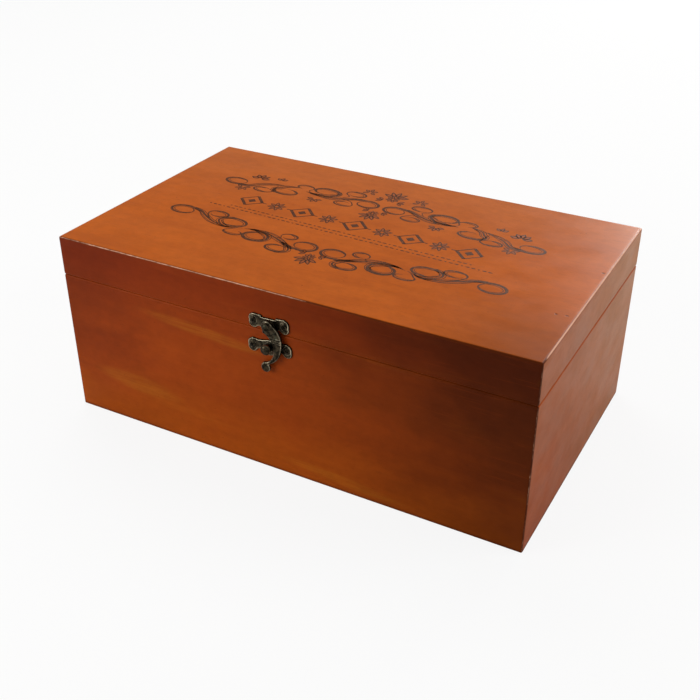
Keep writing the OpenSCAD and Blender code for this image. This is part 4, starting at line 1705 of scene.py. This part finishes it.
@dataclass
class Latch:
    """The swinging hook latch: plate, rivet and hook on the lid, plate and post on the base."""

    head: ScrewHead
    hook_lo: float = 2.55
    hook_hi: float = 4.35
    eye_r: float = 4.4
    tip: Vec2 = (-2.0, -30.8)
    tip_r: float = 3.5
    crown_w: float = 1.5
    collar_r: Vec2 = (3.1, 3.4)
    collar_high: float = 0.42
    rib_at: Vec3 = (-6.9, -8.5, -10.1)
    rib_high: float = 0.28
    tip_dome_r: float = 2.6
    tip_dome_high: float = 1.08
    upper: LatchPlate = LatchPlate(
        node="latch_plate", screws_node="latch_screws", body=Body.LID, centre_z=HOOK_PIVOT[2],
        tilt_deg=1.2, screw=(11.7, 1.6), ear_y=(2.6, -0.6), bar_y=(-2.4, 6.2),
        lobe_y=0.0, lobe_r=4.8, notch=lambda x, y: bar(x, y, -5.4, 5.4, 4.9, 9),
        boss_r=4.2, boss_top=2.4, fillets=(1.2, 1.6, 0.9), span=(-20, 20), reach=(-9, 12))
    lower: LatchPlate = LatchPlate(
        node="catch_plate", screws_node="catch_screws", body=Body.BASE, centre_z=POST_Z,
        tilt_deg=3.0, screw=(13.2, -0.4), ear_y=(0.2, -2.5), bar_y=(-3.2, 3.8),
        lobe_y=-1.2, lobe_r=5.6, notch=lambda x, y: disc(x, y, 8.2, 6.9, 3.2),
        boss_r=3.6, boss_top=1.7, fillets=(1.6, 2.0, 0.8), span=(-22, 22), reach=(-11, 10))

    def hook_shape(self, x: np.ndarray, y: np.ndarray) -> np.ndarray:
        """Outline of the hook: an eye, a crescent of four circles, a rest and a finger tip.

        The crescent is cut off at x = -3.4 and along the line from (0, 4.4) to (-3.4, 0), which
        lies inside the eye, so that only the eye's circle shows above it.

        Args:
            x: Coordinate across.
            y: Coordinate up.

        Returns:
            The distance.
        """
        crescent = blend(disc(x, y, -3.9, -10.4, 14.8), disc(x, y, -5.2, -13.6, 15.4), 0.6)
        crescent = cut(crescent, disc(x, y, -5.6, -17.6, 10), 0.5)
        crescent = cut(crescent, disc(x, y, -6.5, -15, 10.6), 0.5)
        crescent = cut(crescent, np.minimum(x + 3.4, 0.791 * x - 0.611 * (y - self.eye_r)), 0.4)
        shape = blend(crescent, disc(x, y, 0, 0, self.eye_r), 0.8)
        shape = blend(shape, disc(x, y, 5.2, -15.8, 2), 0.8)
        return blend(shape, disc(x, y, *self.tip, self.tip_r), 1.8)

    def hook_relief(self, across: np.ndarray, up: np.ndarray, inside: np.ndarray
                    ) -> tuple[np.ndarray, np.ndarray]:
        """Relief of the hook: a crowned back, a collar, three ribs on the neck and a domed tip.

        Args:
            across: Coordinate across the hook.
            up: Coordinate up from the pivot.
            inside: Distance inside the outline.

        Returns:
            Height and edge brightness.
        """
        t = self.hook_hi - self.hook_lo
        crown = np.sqrt(np.clip(1 - (1 - np.clip(inside / self.crown_w, 0, 1)) ** 2, 0, 1))
        z = self.hook_lo + 0.35 * t + 0.62 * t * crown
        collar = 1 - rise(np.hypot(across, up), *self.collar_r)
        z = z + collar * (self.hook_hi + self.collar_high - z)
        ribs = sum(1 - rise(np.abs(up - at), 0.2, 0.5) for at in self.rib_at)
        ribs = ribs * rise(inside, 0.4, 0.9)
        z = z + self.rib_high * ribs
        far = np.hypot(across - self.tip[0], up - self.tip[1])
        z = z + self.tip_dome_high * np.sqrt(np.clip(1 - (far / self.tip_dome_r) ** 2, 0, 1))
        edge = 0.6 * (1 - rise(np.abs(inside - 0.4), 0.1, 0.6)) + 0.55 * ribs + 0.35 * (far < 1.8)
        return z, np.clip(edge, 0, 1)

    def hook(self) -> Shell:
        """Builds the hook with its columns running down, because it is taller than wide.

        Returns:
            The hook about its pivot.
        """
        shell = loft_plate(lambda a, b: self.hook_shape(b, a),
                           lambda a, b, inside: self.hook_relief(b, a, inside),
                           self.hook_lo, (-36, 6), (-14, 14), 190, 44)
        return shell.moved(lambda p: p[:, [1, 0, 2]])

    def post(self) -> Shell:
        """Builds the post: a foot, a waist for the hook, a flared head and a dome.

        Returns:
            The post about its own axis.
        """
        stem = np.array([(0, 0.4, 0), (3.1, 0.4, 0), (3.18, 1.72, 0), (3.05, 1.86, 0), (2.9, 2, 0),
                         (2.9, 4.66, 0), (3.3, 4.68, 0.5), (3.52, 4.95, 0.5)])
        cap = dome(3.58, 1.9, 6.2, 12)
        cap[:, 2] = 0.35 + 0.3 * (1 - rise(cap[:, 2], 0.1, 0.45))
        return turned(*np.concatenate([stem, cap]).T)

    def rivet(self) -> Shell:
        """Builds the rivet: a shank and a low domed head.

        Returns:
            The rivet about its own axis.
        """
        shank = np.array([(0, 0.4, 0), (1.3, 0.4, 0), (1.3, 4.96, 0), (2.3, 4.96, 0.5)])
        cap = dome(2.4, 1.0, 5.02, 10)
        cap[:, 2] = 0.6 * (1 - rise(cap[:, 2], 0.1, 0.6))
        return turned(*np.concatenate([shank, cap]).T)

    def build(self, bronze: Material) -> None:
        """Makes the latch's pieces.

        Args:
            bronze: Their material.
        """
        plates = (self.upper, self.lower)
        for plate in plates:
            plate.build(bronze)
        pivot = on_wall(Facing.FRONT, HOOK_PIVOT[0], HOOK_PIVOT[2])
        make_piece("cast_latch_hook", self.hook().moved(pivot), Body.HOOK, bronze,
                   "latch_hook", 50)
        make_piece("turned_catch_post", self.post().moved(self.lower.place()), Body.BASE,
                   bronze, "catch_post")
        make_piece("turned_latch_rivet", self.rivet().moved(pivot), Body.LID, bronze,
                   "latch_rivet")
        for plate in plates:
            plate.build_screws(self.head, bronze)


@dataclass
class Hinges:
    """Two butt hinges behind the box; the leaves and pins are the CAD's, the screws have drives."""

    head: ScrewHead
    seam_z: float = pivot_of("lid_hinge")[2]
    screw_x: float = 9.5
    screw_drop: float = 9.0
    leaf_t: float = 1.0
    first_turn_deg: float = 17.0
    turn_step_deg: float = 31.0

    def build(self, bronze: Material) -> None:
        """Dresses the leaves and pins and makes the screws.

        Args:
            bronze: Their material.
        """
        places = []
        for side in ("left", "right"):
            for part in ("hinge_base_leaf", "hinge_lid_leaf", "hinge_pin"):
                dress_node(f"{side}_{part}", bronze)
            middle = node_box(f"{side}_hinge_pin")[:, 0].mean()
            places += [middle - self.screw_x, middle + self.screw_x]
        for leaf, sign, body in (("base", -1, Body.BASE), ("lid", 1, Body.LID)):
            z = self.seam_z + sign * self.screw_drop
            heads = [self.head.shell(self.first_turn_deg + self.turn_step_deg * i).moved(
                on_wall(Facing.BACK, x, z, self.leaf_t)) for i, x in enumerate(places)]
            make_piece(f"{leaf}_leaf_screws", joined(heads), body, bronze,
                       f"{leaf}_hinge_screws")


# ---------------------------------------------------------------- studio


def looking(at: Vec3, way: Vector) -> Matrix:
    """Returns the placement of a lamp or camera at a point that looks along a direction."""
    return Matrix.Translation(at) @ way.to_track_quat("-Z", "Y").to_matrix().to_4x4()


@dataclass(frozen=True)
class Lamp:
    """A soft area light that looks at a point, and whether it shows in gloss and on matt."""

    name: str
    at: Vec3
    towards: Vec3
    size: Vec2
    watts: float
    in_gloss: bool = False
    in_matt: bool = True


@dataclass
class Studio:
    """White floor, plain world, soft lamps and the camera of the photograph."""

    camera_at: Vec3 = (0.31390, -0.58003, 0.43783)
    camera_forward: Vec3 = (-0.4107, 0.7533, -0.5138)
    lens: float = 52.43
    sensor: float = 36.0
    floor_half: float = 12.0
    floor_tone: str = "#e6e6e4"
    # Share of plain white that the camera sees in the floor; the rest keeps the shadow.
    floor_lift: float = 0.88
    world_level: float = 0.36
    glossy_level: float = 0.45
    lamps: tuple[Lamp, ...] = (
        Lamp("key", (-0.9, 0.9, 1.7), (0.0, 0.0, 0.1), (1.2, 1.2), 15.0),
        Lamp("fill", (-1.3, -1.6, 0.9), (0.0, 0.0, 0.06), (1.4, 1.0), 13.0),
        Lamp("side", (1.5, 0.6, 0.9), (0.1, 0.0, 0.06), (1.0, 1.0), 13.0),
        Lamp("rim", (0.25, 2.2, 0.75), (0.15, 0.0, 0.12), (0.9, 0.7), 16.0),
        Lamp("sheen", (0.25, 2.2, 0.75), (0.15, 0.0, 0.12), (0.9, 0.7), 70.0, True, False),
        Lamp("near", (-0.5, -0.62, 0.32), (-0.1, -0.1, 0.05), (0.4, 0.3), 1.6, True),
    )

    def add_floor(self) -> None:
        """Makes the floor, which shows white where it is lit and keeps the soft shadow."""
        x, y = np.mgrid[-1:2, -1:2] * self.floor_half
        mesh = bpy.data.meshes.new("studio_floor")
        mesh.from_pydata(np.stack([x, y, np.zeros_like(x)], -1).reshape(-1, 3).tolist(), [],
                         [face[::-1] for face in grid_faces(3, 3)])
        material, g = new_material("matt_white_paper")
        paper = g.add("BsdfDiffuse", {"Color": linear(self.floor_tone)})
        lift = g.add("Emission", {"Strength": 1.0})
        seen = g.times(g.add("LightPath").outputs["Is Camera Ray"], self.floor_lift)
        g.surface(g.add("MixShader", {0: seen, 1: paper.outputs[0], 2: lift.outputs[0]}).outputs[0])
        mesh.materials.append(material)
        floor = bpy.data.objects.new("studio_floor", mesh)
        bpy.context.scene.collection.objects.link(floor)

    def add_world(self) -> None:
        """Lights the scene evenly; the camera sees white, and gloss and glass see a pale studio."""
        world = bpy.data.worlds.new("plain_studio")
        bpy.context.scene.world = world
        g = Graph(world)
        path = g.add("LightPath")
        glossy = g.math("MAXIMUM", path.outputs["Is Glossy Ray"],
                        path.outputs["Is Transmission Ray"])
        level = g.math("MULTIPLY_ADD", glossy, self.glossy_level - self.world_level,
                       self.world_level)
        level = g.math("MAXIMUM", level, path.outputs["Is Camera Ray"])
        sky = g.add("Background", {"Color": (1.0, 1.0, 1.0, 1.0), "Strength": level})
        g.add("OutputWorld", {"Surface": sky.outputs[0]})

    def add_lamps(self) -> None:
        """Makes the lamps."""
        for lamp in self.lamps:
            data = bpy.data.lights.new(lamp.name, "AREA")
            data.shape = "RECTANGLE"
            data.size, data.size_y = lamp.size
            data.energy = lamp.watts
            light = bpy.data.objects.new(lamp.name, data)
            light.matrix_world = looking(lamp.at, Vector(lamp.towards) - Vector(lamp.at))
            light.visible_glossy = lamp.in_gloss
            light.visible_diffuse = lamp.in_matt
            bpy.context.scene.collection.objects.link(light)

    def add_camera(self) -> None:
        """Makes the camera, level from side to side."""
        data = bpy.data.cameras.new("photo_camera")
        data.lens = self.lens
        data.sensor_width = self.sensor
        data.clip_end = 100
        camera = bpy.data.objects.new("photo_camera", data)
        camera.matrix_world = looking(self.camera_at, Vector(self.camera_forward))
        bpy.context.scene.collection.objects.link(camera)
        bpy.context.scene.camera = camera

    def build(self) -> None:
        """Makes the floor, the world, the lamps and the camera."""
        self.add_camera()
        self.add_floor()
        self.add_world()
        self.add_lamps()
        bpy.context.scene.view_settings.view_transform = "Standard"
        log.info("studio: %d lamps", len(self.lamps))


def main() -> None:
    """Builds the studio and every sub-assembly of the box."""
    logging.basicConfig(level=logging.INFO, format="%(name)s: %(message)s")
    Studio().build()
    wood = StainedWood().material()
    bronze = AntiqueBronze().material()
    sizes, head = BoxSizes(), ScrewHead()
    Carcass(sizes).build(wood)
    Lid(sizes).build(wood)
    LidPrint().build(PrintInk().material())
    Latch(head).build(bronze)
    Hinges(head).build(bronze)
    steel = DrawnSteel().material()
    for node in ("base_corner_brads", "bottom_brads", "lid_corner_brads"):
        dress_node(node, steel)


if __name__ == "__main__":
    main()
